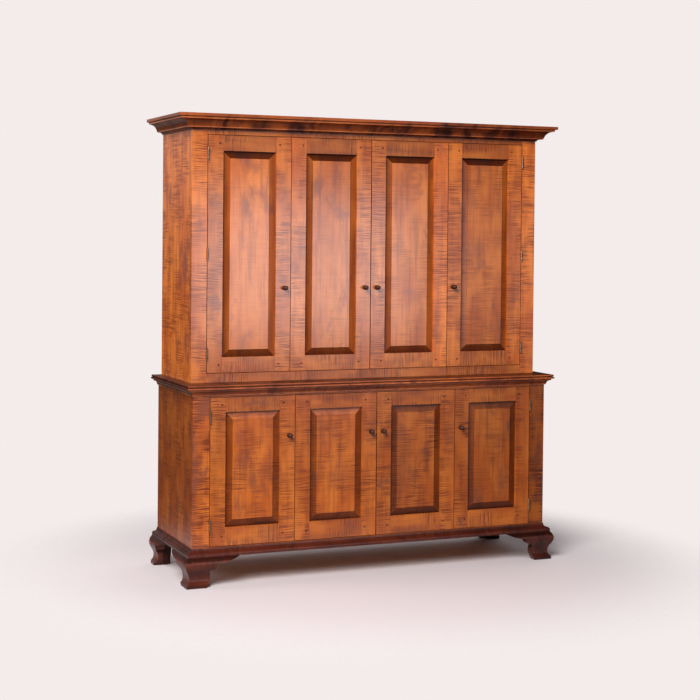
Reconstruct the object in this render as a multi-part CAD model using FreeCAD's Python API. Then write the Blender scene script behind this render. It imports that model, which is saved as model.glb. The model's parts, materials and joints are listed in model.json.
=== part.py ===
import FreeCAD, Part
import math
import os
from collections import namedtuple

os.makedirs("parts", exist_ok=True)

V = FreeCAD.Vector

# Millimetres. +Z is up, the front faces -Y, and the origin is the middle of the floor print.

# The two cases: the upper one is narrower, stands back at the front and is flush at the back
LOWER_HALF_WIDTH = 860.0
UPPER_HALF_WIDTH = 846.0
FRONT_Y = -248.0
BACK_Y = 288.0
UPPER_SETBACK = 83.0
UPPER_FRONT_Y = FRONT_Y + UPPER_SETBACK

# Heights above the floor
CASE_BOTTOM_Z = 130.0
WAIST_MOULDING_Z = 820.0
WAIST_BOARD_Z = 848.0
WAIST_TOP_Z = 867.0
UPPER_SIDE_TOP_Z = 2010.0
UPPER_TOP_BOARD_Z = 1950.0
CORNICE_Z = 1965.0

# Boards
CASE_BOARD = 22.0
BACK_BOARD = 14.0
SHELF_BOARD = 25.0
DIVIDER_BOARD = 20.0
DADO_DEPTH = 8.0
BACK_BOARD_COUNT = 9
CABLE_NOTCH_HEIGHT = 110.0

# Face frames and doors share one thickness and lie flush
FRAME_THICKNESS = 22.0
FRAME_TENON_LENGTH = 25.0
FRAME_TENON_SHOULDER = 5.0
TENON_FRONT = 7.0
TENON_BACK = 15.0
DOOR_GAP = 2.0
CENTRE_GAP = 3.0

# Door joinery
DOOR_STILE = 70.0
DOOR_TENON_LENGTH = 45.0
DOOR_TENON_SHOULDER = 12.0
GROOVE_DEPTH = 10.0
GROOVE_FRONT = 10.0
GROOVE_BACK = 15.0
PEG_WIDTH = 8.0
PEG_FROM_STILE_EDGE = 16.0

# Raised panel: the field stands proud of a wide bevel, behind the face of the frame
PANEL_PLAY = 1.0
PANEL_BEVEL = 32.0
PANEL_FIELD_RECESS = 2.0
PANEL_SHOULDER = 2.5

# Turned knob
KNOB_FROM_EDGE = 28.0
KNOB_SIDES = 10
KNOB_PROFILE = [
    (10.2, 0), (9.6, 5), (7.2, 9), (7.2, 14), (9, 18), (10, 22), (8.8, 27), (5, 31),
]

# Butt hinge: three knuckles that stand clear of the wood, two of them on the leaf with the pin
HINGE_HEIGHT = 55.0
HINGE_LEAF_WIDTH = 18.0
HINGE_LEAF_THICKNESS = 1.5
KNUCKLE_RADIUS = 4.0
KNUCKLE_STANDOFF = 5.0
KNUCKLE_PLAY = 0.15
BARREL_SIDES = 6
PIN_RADIUS = 2.0
RUNNING_CLEARANCE = 0.05

# Shelves, the cleats under their ends and the magnetic catches
UPPER_SHELF_Z = 1600.0
LOWER_SHELF_Z = 490.0
SHELF_FRONT_INSET = 48.0
SHELF_END_PLAY = 1.0
CLEAT_WIDTH = 18.0
CLEAT_HEIGHT = 24.0
CLEAT_INSET = 20.0
CATCH_HALF_WIDTH = 28.0
CATCH_HEIGHT = 22.0
CATCH_DEPTH = 18.0
STRIKE_THICKNESS = 1.5
STRIKE_CLEARANCE = 0.5
STRIKE_FROM_CENTRE = 6.0
STRIKE_WIDTH = 20.0
STRIKE_HEIGHT = 14.0
STRIKE_DROP = 3.0

# Ogee bracket feet
FOOT_INNER_PLANE = -5.0
FOOT_REACH = 205.0
FOOT_OUTERMOST = 40.0
GLUE_BLOCK = 40.0
GLUE_BLOCK_CLEAR = 4.0
REAR_BRACKET_REACH = 100.0
SAW_OVERRUN = 20.0

# Profiles are (outward, up) points. A row of four is an arc through its first point to its second.
CORNICE_PROFILE = [
    (0, 0), (5, 0), (5, 2), (10.5, 7.4, 23, 9.5), (28, 9.5), (28, 14), (30, 14), (40, 34, 63, 44.5),
    (67, 44.5), (67, 52), (78, 54), (78, 67), (0, 67),
]
CORNICE_PROJECTION = 78.0
WAIST_COVE_PROFILE = [(0, 0), (6, 0), (6, 4.5), (8, 4.5), (12.4, 16, 23, 20.5), (24.5, 20.5), (24.5, 28), (0, 28)]
WAIST_COVE_PROJECTION = 24.5
WAIST_EDGE_PROFILE = [
    (0, 0), (31.5, 0), (36, 5, 31.5, 10), (30, 10), (30, 13), (33.5, 13), (33.5, 17.5), (32, 19), (0, 19),
]
WAIST_EDGE_PROJECTION = 36.0
BASE_PROFILE = [
    (0, 0), (26, 0), (26, 8), (24.2, 14.6, 19, 18), (8, 21), (4.4, 27, 3, 35), (0, 35),
]
BASE_PROJECTION = 26.0
# A foot, from under the base moulding over the knee and in at the ankle to the toe and sole
FOOT_PROFILE = [
    (26, 130), (39.98, 101, 31.2, 75.2), (21, 57.3, 17.5, 37), (22.6, 20.6, 36, 10), (37.5, 7.5),
    (31, 0), (FOOT_INNER_PLANE, 0), (FOOT_INNER_PLANE, 130),
]
# What is sawn away under a bracket, as (inboard from the corner, up)
BRACKET_CUT = [
    (FOOT_REACH, 128), (157, 111, 108, 102), (104, 104), (98, 83, 84, 76), (76, 76), (70, 69),
    (75, 38, 63, 12), (57, 0), (FOOT_REACH + SAW_OVERRUN, 0), (FOOT_REACH + SAW_OVERRUN, 128),
]
REAR_BRACKET_CUT = [
    (REAR_BRACKET_REACH, 110), (68, 92, 55, 60), (50, 0), (REAR_BRACKET_REACH + SAW_OVERRUN, 0),
    (REAR_BRACKET_REACH + SAW_OVERRUN, 110),
]

DoorRow = namedtuple(
    "DoorRow", "name face_y half_opening low high top_rail bottom_rail knob_z hinge_z catch_z")

UPPER_DOORS = DoorRow("upper", UPPER_FRONT_Y, 776.0, 909.0, 1944.0, 68.0, 68.0, 1278.0,
                      (992.0, 1427.0, 1862.0), UPPER_TOP_BOARD_Z - CATCH_HEIGHT)
LOWER_DOORS = DoorRow("lower", FRONT_Y, 784.0, 169.0, 811.0, 64.0, 80.0, 635.0,
                      (258.0, 727.0), 777.0)

MIDDLE = V(0, 0, 0)
ACROSS = V(1, 0, 0)


def block(x, y, z):
    """A box between two planes on each axis, in either order."""
    x, y, z = sorted(x), sorted(y), sorted(z)
    return Part.makeBox(x[1] - x[0], y[1] - y[0], z[1] - z[0], V(x[0], y[0], z[0]))


def mirrored(shape):
    """The same piece on the other side of the middle plane."""
    return shape.mirror(MIDDLE, ACROSS)


def face_of(points, place):
    """A flat face bounded by straight lines and arcs, each point set in space by place."""
    edges = []
    here = place(*points[0])
    for entry in points[1:] + points[:1]:
        there = place(*entry[-2:])
        if len(entry) == 4:
            edges.append(Part.Arc(here, place(*entry[:2]), there).toShape())
        else:
            edges.append(Part.LineSegment(here, there).toShape())
        here = there
    return Part.Face(Part.Wire(edges))


def raised(profile, height):
    """A profile lifted to its place, arc entries included."""
    return [tuple(v + height * (i % 2) for i, v in enumerate(entry)) for entry in profile]


def mitred_run(profile, projection, half_width, front_y):
    """The right side return and the front length of a moulding, cut at 45 degrees to meet."""
    low = min(entry[-1] for entry in profile)
    high = max(entry[-1] for entry in profile)
    reach = half_width + projection
    front = face_of(profile, lambda p, z: V(-reach, front_y - p, z)).extrude(V(2 * reach, 0, 0))
    side = face_of(profile, lambda p, z: V(half_width + p, front_y - projection, z))
    side = side.extrude(V(0, BACK_Y - front_y + projection, 0))
    front_plan = [(-half_width, front_y), (-reach, front_y - projection),
                  (reach, front_y - projection), (half_width, front_y)]
    side_plan = [(half_width, front_y), (reach, front_y - projection),
                 (reach, BACK_Y), (half_width, BACK_Y)]
    lift = V(0, 0, high - low)
    front = front.common(face_of(front_plan, lambda x, y: V(x, y, low)).extrude(lift))
    side = side.common(face_of(side_plan, lambda x, y: V(x, y, low)).extrude(lift))
    return side, front


def moulding(profile, projection, half_width, front_y):
    """Left return, front length and right return of a moulding."""
    side, front = mitred_run(profile, projection, half_width, front_y)
    return [mirrored(side), front, side]


def ogee_bracket(place, along, mitred):
    """One face of a foot. place sets (inboard, outward, up) points and along is the inboard way."""
    start = -FOOT_OUTERMOST if mitred else 0.0
    end = face_of(FOOT_PROFILE, lambda p, z: place(start, p, z))
    bracket = end.extrude(along * (FOOT_REACH - start))
    away = place(0, 1, 0) - place(0, 0, 0)
    span = FOOT_OUTERMOST - FOOT_INNER_PLANE
    cut = face_of(BRACKET_CUT, lambda u, z: place(u, FOOT_INNER_PLANE, z)).extrude(away * span)
    bracket = bracket.cut(cut)
    if mitred:
        waste = [(-FOOT_OUTERMOST, FOOT_OUTERMOST), (-FOOT_INNER_PLANE, FOOT_INNER_PLANE),
                 (-FOOT_OUTERMOST, FOOT_INNER_PLANE)]
        prism = face_of(waste, lambda u, p: place(u, p, 0)).extrude(V(0, 0, CASE_BOTTOM_Z))
        bracket = bracket.cut(prism)
    return bracket


def front_foot():
    """Right front foot: two ogee brackets mitred at the corner and a glue block behind them."""
    corner_x = LOWER_HALF_WIDTH
    front = ogee_bracket(lambda u, p, z: V(corner_x - u, FRONT_Y - p, z), V(-1, 0, 0), True)
    side = ogee_bracket(lambda u, p, z: V(corner_x + p, FRONT_Y + u, z), V(0, 1, 0), True)
    inner_x = corner_x + FOOT_INNER_PLANE
    inner_y = FRONT_Y - FOOT_INNER_PLANE
    glue_block = block((inner_x - GLUE_BLOCK, inner_x), (inner_y, inner_y + GLUE_BLOCK),
                       (GLUE_BLOCK_CLEAR, CASE_BOTTOM_Z))
    return [front, side, glue_block]


def rear_foot():
    """Right rear foot: an ogee bracket on the side, a plain sawn bracket at the back, a glue block."""
    corner_x = LOWER_HALF_WIDTH
    inner_x = corner_x + FOOT_INNER_PLANE
    side = ogee_bracket(lambda u, p, z: V(corner_x + p, BACK_Y - u, z), V(0, -1, 0), False)
    plain = block((inner_x - REAR_BRACKET_REACH, inner_x), (BACK_Y - CASE_BOARD, BACK_Y),
                  (0, CASE_BOTTOM_Z))
    cut = face_of(REAR_BRACKET_CUT, lambda u, z: V(inner_x - u, BACK_Y - CASE_BOARD, z))
    plain = plain.cut(cut.extrude(V(0, CASE_BOARD, 0)))
    block_back = BACK_Y - CASE_BOARD
    glue_block = block((inner_x - GLUE_BLOCK, inner_x), (block_back - GLUE_BLOCK, block_back),
                       (GLUE_BLOCK_CLEAR, CASE_BOTTOM_Z))
    return [side, plain, glue_block]


def ring(sides, radius):
    """Corners of a regular figure, spread over a circle."""
    turns = [math.tau * (k + 0.5) / sides for k in range(sides)]
    return [(radius * math.cos(turn), radius * math.sin(turn)) for turn in turns]


def barrel(radius, x, y, z):
    """An upright flat-sided bar, its corners on a circle, between two heights."""
    outline = face_of(ring(BARREL_SIDES, radius), lambda u, v: V(x + u, y + v, z[0]))
    return outline.extrude(V(0, 0, z[1] - z[0]))


def butt_hinge(axis_x, axis_y, middle_z, into):
    """Pin leaf on the +X side, free leaf on the -X side, and the pin. into is the Y sign to the wood."""
    half = HINGE_HEIGHT / 2
    third = HINGE_HEIGHT / 6
    wood_y = axis_y + into * KNUCKLE_STANDOFF
    pin_spans = [(-half, -third - KNUCKLE_PLAY / 2), (third + KNUCKLE_PLAY / 2, half)]
    free_spans = [(-third + KNUCKLE_PLAY / 2, third - KNUCKLE_PLAY / 2)]
    # The pin's corners turn inside the flats of the bore
    bore_radius = (PIN_RADIUS + RUNNING_CLEARANCE) / math.cos(math.pi / BARREL_SIDES)
    whole = (middle_z - half, middle_z + half)
    bore = barrel(bore_radius, axis_x, axis_y, whole)
    leaves = []
    for side, spans in ((1, pin_spans), (-1, free_spans)):
        x = (axis_x + side * DOOR_GAP / 2, axis_x + side * (DOOR_GAP / 2 + HINGE_LEAF_THICKNESS))
        leaf = block(x, (wood_y, wood_y + into * HINGE_LEAF_WIDTH), whole)
        for low, high in spans:
            knuckle = barrel(KNUCKLE_RADIUS, axis_x, axis_y, (middle_z + low, middle_z + high))
            web = block(x, (axis_y, wood_y), (middle_z + low, middle_z + high))
            leaf = leaf.fuse([knuckle, web])
        leaves.append(leaf.cut(bore).removeSplitter())
    return leaves[0], leaves[1], barrel(PIN_RADIUS, axis_x, axis_y, whole)


def hinge_gains(edge_x, into_x, face_y, into_y, heights):
    """Shallow recesses in the edge of a board, open at the face, that the hinge leaves lie in."""
    x = (edge_x, edge_x + into_x * HINGE_LEAF_THICKNESS)
    y = (face_y, face_y + into_y * HINGE_LEAF_WIDTH)
    return [block(x, y, (z - HINGE_HEIGHT / 2, z + HINGE_HEIGHT / 2)) for z in heights]


def leaf_width(row):
    """Width of each of the two leaves that fill half of the opening."""
    return (row.half_opening - 2 * DOOR_GAP - CENTRE_GAP / 2) / 2


def outer_axis_x(row):
    """Pins between the case and the outer leaf, in the middle of their gap."""
    return row.half_opening - DOOR_GAP / 2


def fold_axis_x(row):
    """Pins between the outer and the inner leaf, in the middle of their gap."""
    return CENTRE_GAP / 2 + leaf_width(row) + DOOR_GAP / 2


def peg(x, face_y, z):
    """A square peg, flush with the face, driven through a tenon in its mortise."""
    half = PEG_WIDTH / 2
    return block((x - half, x + half), (face_y, face_y + TENON_BACK), (z - half, z + half))


def door_frame(row, x0, gains):
    """Two stiles and two rails, mortised and tenoned, grooved for the panel, with their pegs."""
    x1 = x0 + leaf_width(row)
    y = (row.face_y, row.face_y + FRAME_THICKNESS)
    tenon_y = (row.face_y + TENON_FRONT, row.face_y + TENON_BACK)
    groove_y = (row.face_y + GROOVE_FRONT, row.face_y + GROOVE_BACK)
    window_low = row.low + row.bottom_rail
    window_high = row.high - row.top_rail
    groove_z = (window_low - GROOVE_DEPTH, window_high + GROOVE_DEPTH)
    rails = [
        ((row.low, window_low), (row.low + DOOR_TENON_SHOULDER, groove_z[0]), (groove_z[0], window_low)),
        ((window_high, row.high), (groove_z[1], row.high - DOOR_TENON_SHOULDER), (window_high, groove_z[1])),
    ]
    stiles = [(x0, x0 + DOOR_STILE, -1), (x1 - DOOR_STILE, x1, 1)]
    rail_x = (x0 + DOOR_STILE, x1 - DOOR_STILE)
    peg_x = (rail_x[0] - PEG_FROM_STILE_EDGE, rail_x[1] + PEG_FROM_STILE_EDGE)
    pegs = [peg(x, row.face_y, sum(rail_z) / 2) for x in peg_x for rail_z, _, _ in rails]
    tenon_x = (rail_x[0] - DOOR_TENON_LENGTH, rail_x[1] + DOOR_TENON_LENGTH)
    pieces = []
    tenons = [block(tenon_x, tenon_y, tenon_z) for _, tenon_z, _ in rails]
    for tenon, (rail_z, _, groove) in zip(tenons, rails):
        rail = block(rail_x, y, rail_z).fuse(tenon).removeSplitter()
        pieces.append(rail.cut([block(rail_x, groove_y, groove)] + pegs))
    for low, high, side in stiles:
        inner = rail_x[0] if side < 0 else rail_x[1]
        groove = block((inner, inner + side * GROOVE_DEPTH), groove_y, groove_z)
        stile = block((low, high), y, (row.low, row.high))
        pieces.append(stile.cut(tenons + [groove] + pegs + gains))
    return pieces + pegs


def door_panel(row, x0):
    """A raised panel: a thin edge held in the groove, a sloping bevel, a shoulder and a flat field."""
    x1 = x0 + leaf_width(row)
    window_x = (x0 + DOOR_STILE, x1 - DOOR_STILE)
    window_z = (row.low + row.bottom_rail, row.high - row.top_rail)
    side_tongue = GROOVE_DEPTH - PANEL_PLAY
    front_y = row.face_y + GROOVE_FRONT
    edge = block((window_x[0] - side_tongue, window_x[1] + side_tongue),
                 (front_y, row.face_y + GROOVE_BACK),
                 (window_z[0] - GROOVE_DEPTH, window_z[1] + side_tongue))
    field_x = (window_x[0] + PANEL_BEVEL, window_x[1] - PANEL_BEVEL)
    field_z = (window_z[0] + PANEL_BEVEL, window_z[1] - PANEL_BEVEL)
    field_y = row.face_y + PANEL_FIELD_RECESS
    bevel_y = field_y + PANEL_SHOULDER
    bevel = Part.makeWedge(field_x[0], bevel_y, field_z[0], window_z[0], window_x[0],
                           field_x[1], front_y, field_z[1], window_z[1], window_x[1])
    field = block(field_x, (field_y, bevel_y), field_z)
    return edge.fuse([bevel, field]).removeSplitter()


def knob(row, x0):
    """A turned knob screwed on from behind: flange, waisted neck and domed head, in flat facets."""
    centre = V(x0 + KNOB_FROM_EDGE, row.face_y, row.knob_z)
    rings = []
    for radius, out in KNOB_PROFILE:
        corners = [centre + V(u, -out, v) for u, v in ring(KNOB_SIDES, radius)]
        rings.append(corners + corners[:1])
    outlines = [rings[0], rings[-1]]
    for near, far in zip(rings, rings[1:]):
        for k in range(KNOB_SIDES):
            outlines.append([near[k], near[k + 1], far[k + 1], far[k], near[k]])
    faces = [Part.Face(Part.makePolygon(outline)) for outline in outlines]
    return Part.Solid(Part.Shell(faces))


def strike_plate(row):
    """Steel plate on the back of an inner leaf, opposite the magnetic catch."""
    back_y = row.face_y + FRAME_THICKNESS
    x = (STRIKE_FROM_CENTRE, STRIKE_FROM_CENTRE + STRIKE_WIDTH)
    low = row.catch_z + (CATCH_HEIGHT - STRIKE_HEIGHT) / 2 - STRIKE_DROP
    return block(x, (back_y, back_y + STRIKE_THICKNESS), (low, low + STRIKE_HEIGHT))


def catch(row, back_y):
    """Double magnetic catch that holds both inner leaves of a row."""
    front_y = row.face_y + FRAME_THICKNESS + STRIKE_THICKNESS + STRIKE_CLEARANCE
    return block((-CATCH_HALF_WIDTH, CATCH_HALF_WIDTH), (front_y, back_y),
                 (row.catch_z, row.catch_z + CATCH_HEIGHT))


def door_pair(row):
    """Nodes of the right pair of doors, by piece, with the case halves of its hinges."""
    outer_x0 = row.half_opening - DOOR_GAP - leaf_width(row)
    inner_x0 = CENTRE_GAP / 2
    back_y = row.face_y + FRAME_THICKNESS
    case_hinges = [butt_hinge(outer_axis_x(row), row.face_y - KNUCKLE_STANDOFF, z, 1) for z in row.hinge_z]
    folds = [butt_hinge(fold_axis_x(row), back_y + KNUCKLE_STANDOFF, z, -1) for z in row.hinge_z]
    outer_gains = hinge_gains(row.half_opening - DOOR_GAP, -1, row.face_y, 1, row.hinge_z)
    outer_gains += hinge_gains(outer_x0, 1, back_y, -1, row.hinge_z)
    inner_gains = hinge_gains(outer_x0 - DOOR_GAP, -1, back_y, -1, row.hinge_z)
    doors = {
        "outer": {"frame": door_frame(row, outer_x0, outer_gains),
                  "panel": [door_panel(row, outer_x0)],
                  "knob": [knob(row, outer_x0)],
                  "hardware": [h[1] for h in case_hinges] + [h[0] for h in folds] + [h[2] for h in folds]},
        "inner": {"frame": door_frame(row, inner_x0, inner_gains),
                  "panel": [door_panel(row, inner_x0)],
                  "knob": [knob(row, inner_x0)],
                  "hardware": [h[1] for h in folds] + [strike_plate(row)]},
    }
    return doors, [h[0] for h in case_hinges], [h[2] for h in case_hinges]


def face_frame(row, half_width, low, high):
    """Two stiles and two rails round a row of doors, joined by stub tenons."""
    y = (row.face_y, row.face_y + FRAME_THICKNESS)
    tenon_y = (row.face_y + TENON_FRONT, row.face_y + TENON_BACK)
    reach = row.half_opening + FRAME_TENON_LENGTH
    rails, tenons = [], []
    for rail_z in ((low, row.low - DOOR_GAP), (row.high + DOOR_GAP, high)):
        tenon_z = (rail_z[0] + FRAME_TENON_SHOULDER, rail_z[1] - FRAME_TENON_SHOULDER)
        tenon = block((-reach, reach), tenon_y, tenon_z)
        rails.append(block((-row.half_opening, row.half_opening), y, rail_z).fuse(tenon).removeSplitter())
        tenons.append(tenon)
    gains = hinge_gains(row.half_opening, 1, row.face_y, 1, row.hinge_z)
    stile = block((row.half_opening, half_width), y, (low, high)).cut(tenons + gains)
    return rails + [stile, mirrored(stile)]


def back_boards(half_width, low, high, notch_low):
    """Upright boards side by side. The middle one is short, which leaves a notch for cables."""
    inner = half_width - CASE_BOARD
    width = 2 * inner / BACK_BOARD_COUNT
    boards = []
    for k in range(BACK_BOARD_COUNT):
        z = [low, high]
        if k == BACK_BOARD_COUNT // 2:
            z[0 if notch_low else 1] += CABLE_NOTCH_HEIGHT if notch_low else -CABLE_NOTCH_HEIGHT
        x = (-inner + k * width, -inner + (k + 1) * width)
        boards.append(block(x, (BACK_Y - BACK_BOARD, BACK_Y), z))
    return boards


def cleat(wall_x, sign, row, shelf_z):
    """A strip along a wall, under the end of a shelf. sign is the way out of the wall."""
    y = (row.face_y + SHELF_FRONT_INSET + CLEAT_INSET, BACK_Y - BACK_BOARD)
    return block((wall_x, wall_x + sign * CLEAT_WIDTH), y, (shelf_z - CLEAT_HEIGHT, shelf_z))


nodes = {}

# Boards that run between the sides, held in dados
inner_back_y = BACK_Y - BACK_BOARD
lower_inner = LOWER_HALF_WIDTH - CASE_BOARD
upper_inner = UPPER_HALF_WIDTH - CASE_BOARD
lower_case_y = FRONT_Y + FRAME_THICKNESS
upper_case_y = UPPER_FRONT_Y + FRAME_THICKNESS
lower_floor_z = LOWER_DOORS.low - DOOR_GAP
upper_floor_z = UPPER_DOORS.low - DOOR_GAP
lower_span = (-lower_inner - DADO_DEPTH, lower_inner + DADO_DEPTH)
upper_span = (-upper_inner - DADO_DEPTH, upper_inner + DADO_DEPTH)
base_bottom = block(lower_span, (lower_case_y, inner_back_y), (lower_floor_z - CASE_BOARD, lower_floor_z))
upper_bottom = block(upper_span, (upper_case_y, inner_back_y), (upper_floor_z - CASE_BOARD, upper_floor_z))
upper_top = block(upper_span, (upper_case_y, inner_back_y),
                  (UPPER_TOP_BOARD_Z, UPPER_TOP_BOARD_Z + CASE_BOARD))
nodes["base_bottom_board"] = [base_bottom]
nodes["upper_bottom_board"] = [upper_bottom]
nodes["upper_top_board"] = [upper_top]

# Shelves on cleats, and the divider that stands in the middle of the lower case
half_divider = DIVIDER_BOARD / 2
lower_shelf_y = (FRONT_Y + SHELF_FRONT_INSET, inner_back_y)
upper_shelf_y = (UPPER_FRONT_Y + SHELF_FRONT_INSET, inner_back_y)
lower_shelf = block((half_divider + SHELF_END_PLAY, lower_inner - SHELF_END_PLAY), lower_shelf_y,
                    (LOWER_SHELF_Z, LOWER_SHELF_Z + SHELF_BOARD))
upper_shelf_end = upper_inner - SHELF_END_PLAY
nodes["base_shelves"] = [mirrored(lower_shelf), lower_shelf]
nodes["upper_shelf"] = [block((-upper_shelf_end, upper_shelf_end), upper_shelf_y,
                              (UPPER_SHELF_Z, UPPER_SHELF_Z + SHELF_BOARD))]
right_cleats = [cleat(lower_inner, -1, LOWER_DOORS, LOWER_SHELF_Z),
                cleat(half_divider, 1, LOWER_DOORS, LOWER_SHELF_Z),
                cleat(upper_inner, -1, UPPER_DOORS, UPPER_SHELF_Z)]
nodes["shelf_cleats"] = right_cleats + [mirrored(strip) for strip in right_cleats]
nodes["base_divider"] = [block((-half_divider, half_divider), lower_shelf_y, (lower_floor_z, WAIST_BOARD_Z))]

# Sides
lower_side = block((lower_inner, LOWER_HALF_WIDTH), (lower_case_y, BACK_Y), (CASE_BOTTOM_Z, WAIST_BOARD_Z))
lower_side = lower_side.cut(base_bottom)
upper_side = block((upper_inner, UPPER_HALF_WIDTH), (upper_case_y, BACK_Y), (WAIST_TOP_Z, UPPER_SIDE_TOP_Z))
upper_side = upper_side.cut([upper_bottom, upper_top])
nodes["base_right_side"] = [lower_side]
nodes["base_left_side"] = [mirrored(lower_side)]
nodes["upper_right_side"] = [upper_side]
nodes["upper_left_side"] = [mirrored(upper_side)]

# Face frames and backs
nodes["base_face_frame"] = face_frame(LOWER_DOORS, LOWER_HALF_WIDTH, CASE_BOTTOM_Z, WAIST_BOARD_Z)
nodes["upper_face_frame"] = face_frame(UPPER_DOORS, UPPER_HALF_WIDTH, WAIST_TOP_Z, UPPER_SIDE_TOP_Z)
nodes["base_back_boards"] = back_boards(LOWER_HALF_WIDTH, CASE_BOTTOM_Z, WAIST_BOARD_Z, False)
nodes["upper_back_boards"] = back_boards(UPPER_HALF_WIDTH, WAIST_TOP_Z, UPPER_SIDE_TOP_Z, True)

# Mouldings, the waist board with its moulded edges, and the feet
nodes["cornice_moulding"] = moulding(raised(CORNICE_PROFILE, CORNICE_Z), CORNICE_PROJECTION,
                                     UPPER_HALF_WIDTH, UPPER_FRONT_Y)
nodes["waist_moulding"] = moulding(raised(WAIST_COVE_PROFILE, WAIST_MOULDING_Z), WAIST_COVE_PROJECTION,
                                   LOWER_HALF_WIDTH, FRONT_Y)
nodes["base_moulding"] = moulding(raised(BASE_PROFILE, CASE_BOTTOM_Z), BASE_PROJECTION,
                                  LOWER_HALF_WIDTH, FRONT_Y)
waist_core = block((-LOWER_HALF_WIDTH, LOWER_HALF_WIDTH), (FRONT_Y, BACK_Y), (WAIST_BOARD_Z, WAIST_TOP_Z))
waist_edges = moulding(raised(WAIST_EDGE_PROFILE, WAIST_BOARD_Z), WAIST_EDGE_PROJECTION,
                       LOWER_HALF_WIDTH, FRONT_Y)
nodes["waist_board"] = [waist_core.fuse(waist_edges).removeSplitter()]
for place, foot in (("front", front_foot()), ("rear", rear_foot())):
    nodes[place + "_right_foot"] = foot
    nodes[place + "_left_foot"] = [mirrored(solid) for solid in foot]

# Doors, with the right pair of each row built and the left pair mirrored
case_leaves, case_pins = [], []
for row in (UPPER_DOORS, LOWER_DOORS):
    doors, leaves, pins = door_pair(row)
    case_leaves += leaves + [mirrored(leaf) for leaf in leaves]
    case_pins += pins + [mirrored(pin) for pin in pins]
    for leaf_name, pieces in doors.items():
        for piece_name, solids in pieces.items():
            nodes[f"{row.name}_right_{leaf_name}_{piece_name}"] = solids
            nodes[f"{row.name}_left_{leaf_name}_{piece_name}"] = [mirrored(s) for s in solids]
nodes["case_hinge_leaves"] = case_leaves
nodes["case_hinge_pins"] = case_pins
upper_catch_back = UPPER_FRONT_Y + FRAME_THICKNESS + STRIKE_THICKNESS + STRIKE_CLEARANCE + CATCH_DEPTH
nodes["door_catches"] = [catch(UPPER_DOORS, upper_catch_back),
                         catch(LOWER_DOORS, FRONT_Y + SHELF_FRONT_INSET)]

for name, solids in nodes.items():
    shape = solids[0] if len(solids) == 1 else Part.Compound(solids)
    shape.exportStep(f"parts/{name}.step")
print(len(nodes), "nodes,", sum(len(solids) for solids in nodes.values()), "solids")
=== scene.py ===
import json
import logging
import math
import zlib
from dataclasses import dataclass, field, replace
from enum import Enum
from typing import Any, Iterable, Optional, Sequence, Union

import bpy
import numpy as np
from mathutils import Matrix, Vector


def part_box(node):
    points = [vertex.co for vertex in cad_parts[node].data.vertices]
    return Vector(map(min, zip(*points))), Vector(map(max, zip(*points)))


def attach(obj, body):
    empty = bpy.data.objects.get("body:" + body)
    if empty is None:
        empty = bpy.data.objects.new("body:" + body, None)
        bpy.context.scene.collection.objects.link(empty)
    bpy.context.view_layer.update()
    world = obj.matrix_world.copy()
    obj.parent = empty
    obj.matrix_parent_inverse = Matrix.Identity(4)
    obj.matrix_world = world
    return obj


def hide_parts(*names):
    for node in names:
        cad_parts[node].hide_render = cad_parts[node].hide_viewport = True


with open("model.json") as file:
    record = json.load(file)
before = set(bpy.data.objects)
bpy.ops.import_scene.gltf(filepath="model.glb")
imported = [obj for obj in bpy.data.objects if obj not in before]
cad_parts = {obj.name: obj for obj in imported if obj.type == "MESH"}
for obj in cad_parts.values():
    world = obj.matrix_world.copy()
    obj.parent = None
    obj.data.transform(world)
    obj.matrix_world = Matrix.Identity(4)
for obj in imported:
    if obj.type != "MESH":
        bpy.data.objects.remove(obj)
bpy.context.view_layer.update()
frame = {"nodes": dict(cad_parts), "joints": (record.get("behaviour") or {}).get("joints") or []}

MM = 0.001
LOG = logging.getLogger("cabinet")
GRAIN = "grain"
LOOK = "look"
MIDDLE_TONE = 0.5

Colour = tuple[float, float, float]
Place = tuple[float, float, float]
Edges = tuple[float, float]
Profile = Sequence[tuple[float, ...]]


class Axis(Enum):
    """The way that the grain of a board runs."""

    X = 0
    Y = 1
    Z = 2


class Side(Enum):
    """Which half of the cabinet, with the sign of its X."""

    LEFT = -1
    RIGHT = 1

    @property
    def word(self) -> str:
        """The side's name in the nodes."""
        return self.name.lower()


class Leaf(Enum):
    """The two leaves of a folding pair: the outer one hangs on the case."""

    OUTER = "outer"
    INNER = "inner"


class BoardEdge(Enum):
    """Edges of a board, with the faces of its ring that make each one: P and Q follow the grain axis."""

    LOW_P = (4, 5, 6)
    HIGH_P = (10, 11, 0)
    LOW_Q = (7, 8, 9)
    HIGH_Q = (1, 2, 3)
    ENDS = (-1,)


class Row(Enum):
    """The two rows of doors, with the number of hinges on each leaf."""

    UPPER = ("upper", 3)
    LOWER = ("lower", 2)

    @property
    def word(self) -> str:
        """The row's name in the nodes."""
        return self.value[0]

    @property
    def hinges(self) -> int:
        """How many hinges one leaf hangs on."""
        return self.value[1]


class Socket:
    """One output of a shader node, for use in sums and products."""

    def __init__(self, shader: "Shader", output: bpy.types.NodeSocket) -> None:
        """Keeps the tree that the output belongs to, and the output itself."""
        self.shader = shader
        self.output = output

    def __add__(self, other: "Value") -> "Socket":
        """Sum."""
        return self.shader.math("ADD", self, other)

    def __sub__(self, other: "Value") -> "Socket":
        """Difference."""
        return self.shader.math("SUBTRACT", self, other)

    def __rsub__(self, other: "Value") -> "Socket":
        """Difference from a number."""
        return self.shader.math("SUBTRACT", other, self)

    def __mul__(self, other: "Value") -> "Socket":
        """Product."""
        return self.shader.math("MULTIPLY", self, other)

    __radd__ = __add__
    __rmul__ = __mul__

    def between(self, low: float, high: float) -> "Socket":
        """A smooth step that is 0 at low and beyond it, and 1 at high and beyond that."""
        settings = {"interpolation_type": "SMOOTHSTEP"}
        return self.shader.node("ShaderNodeMapRange", settings, {0: self, 1: low, 2: high})


Value = Union[Socket, float]


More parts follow.
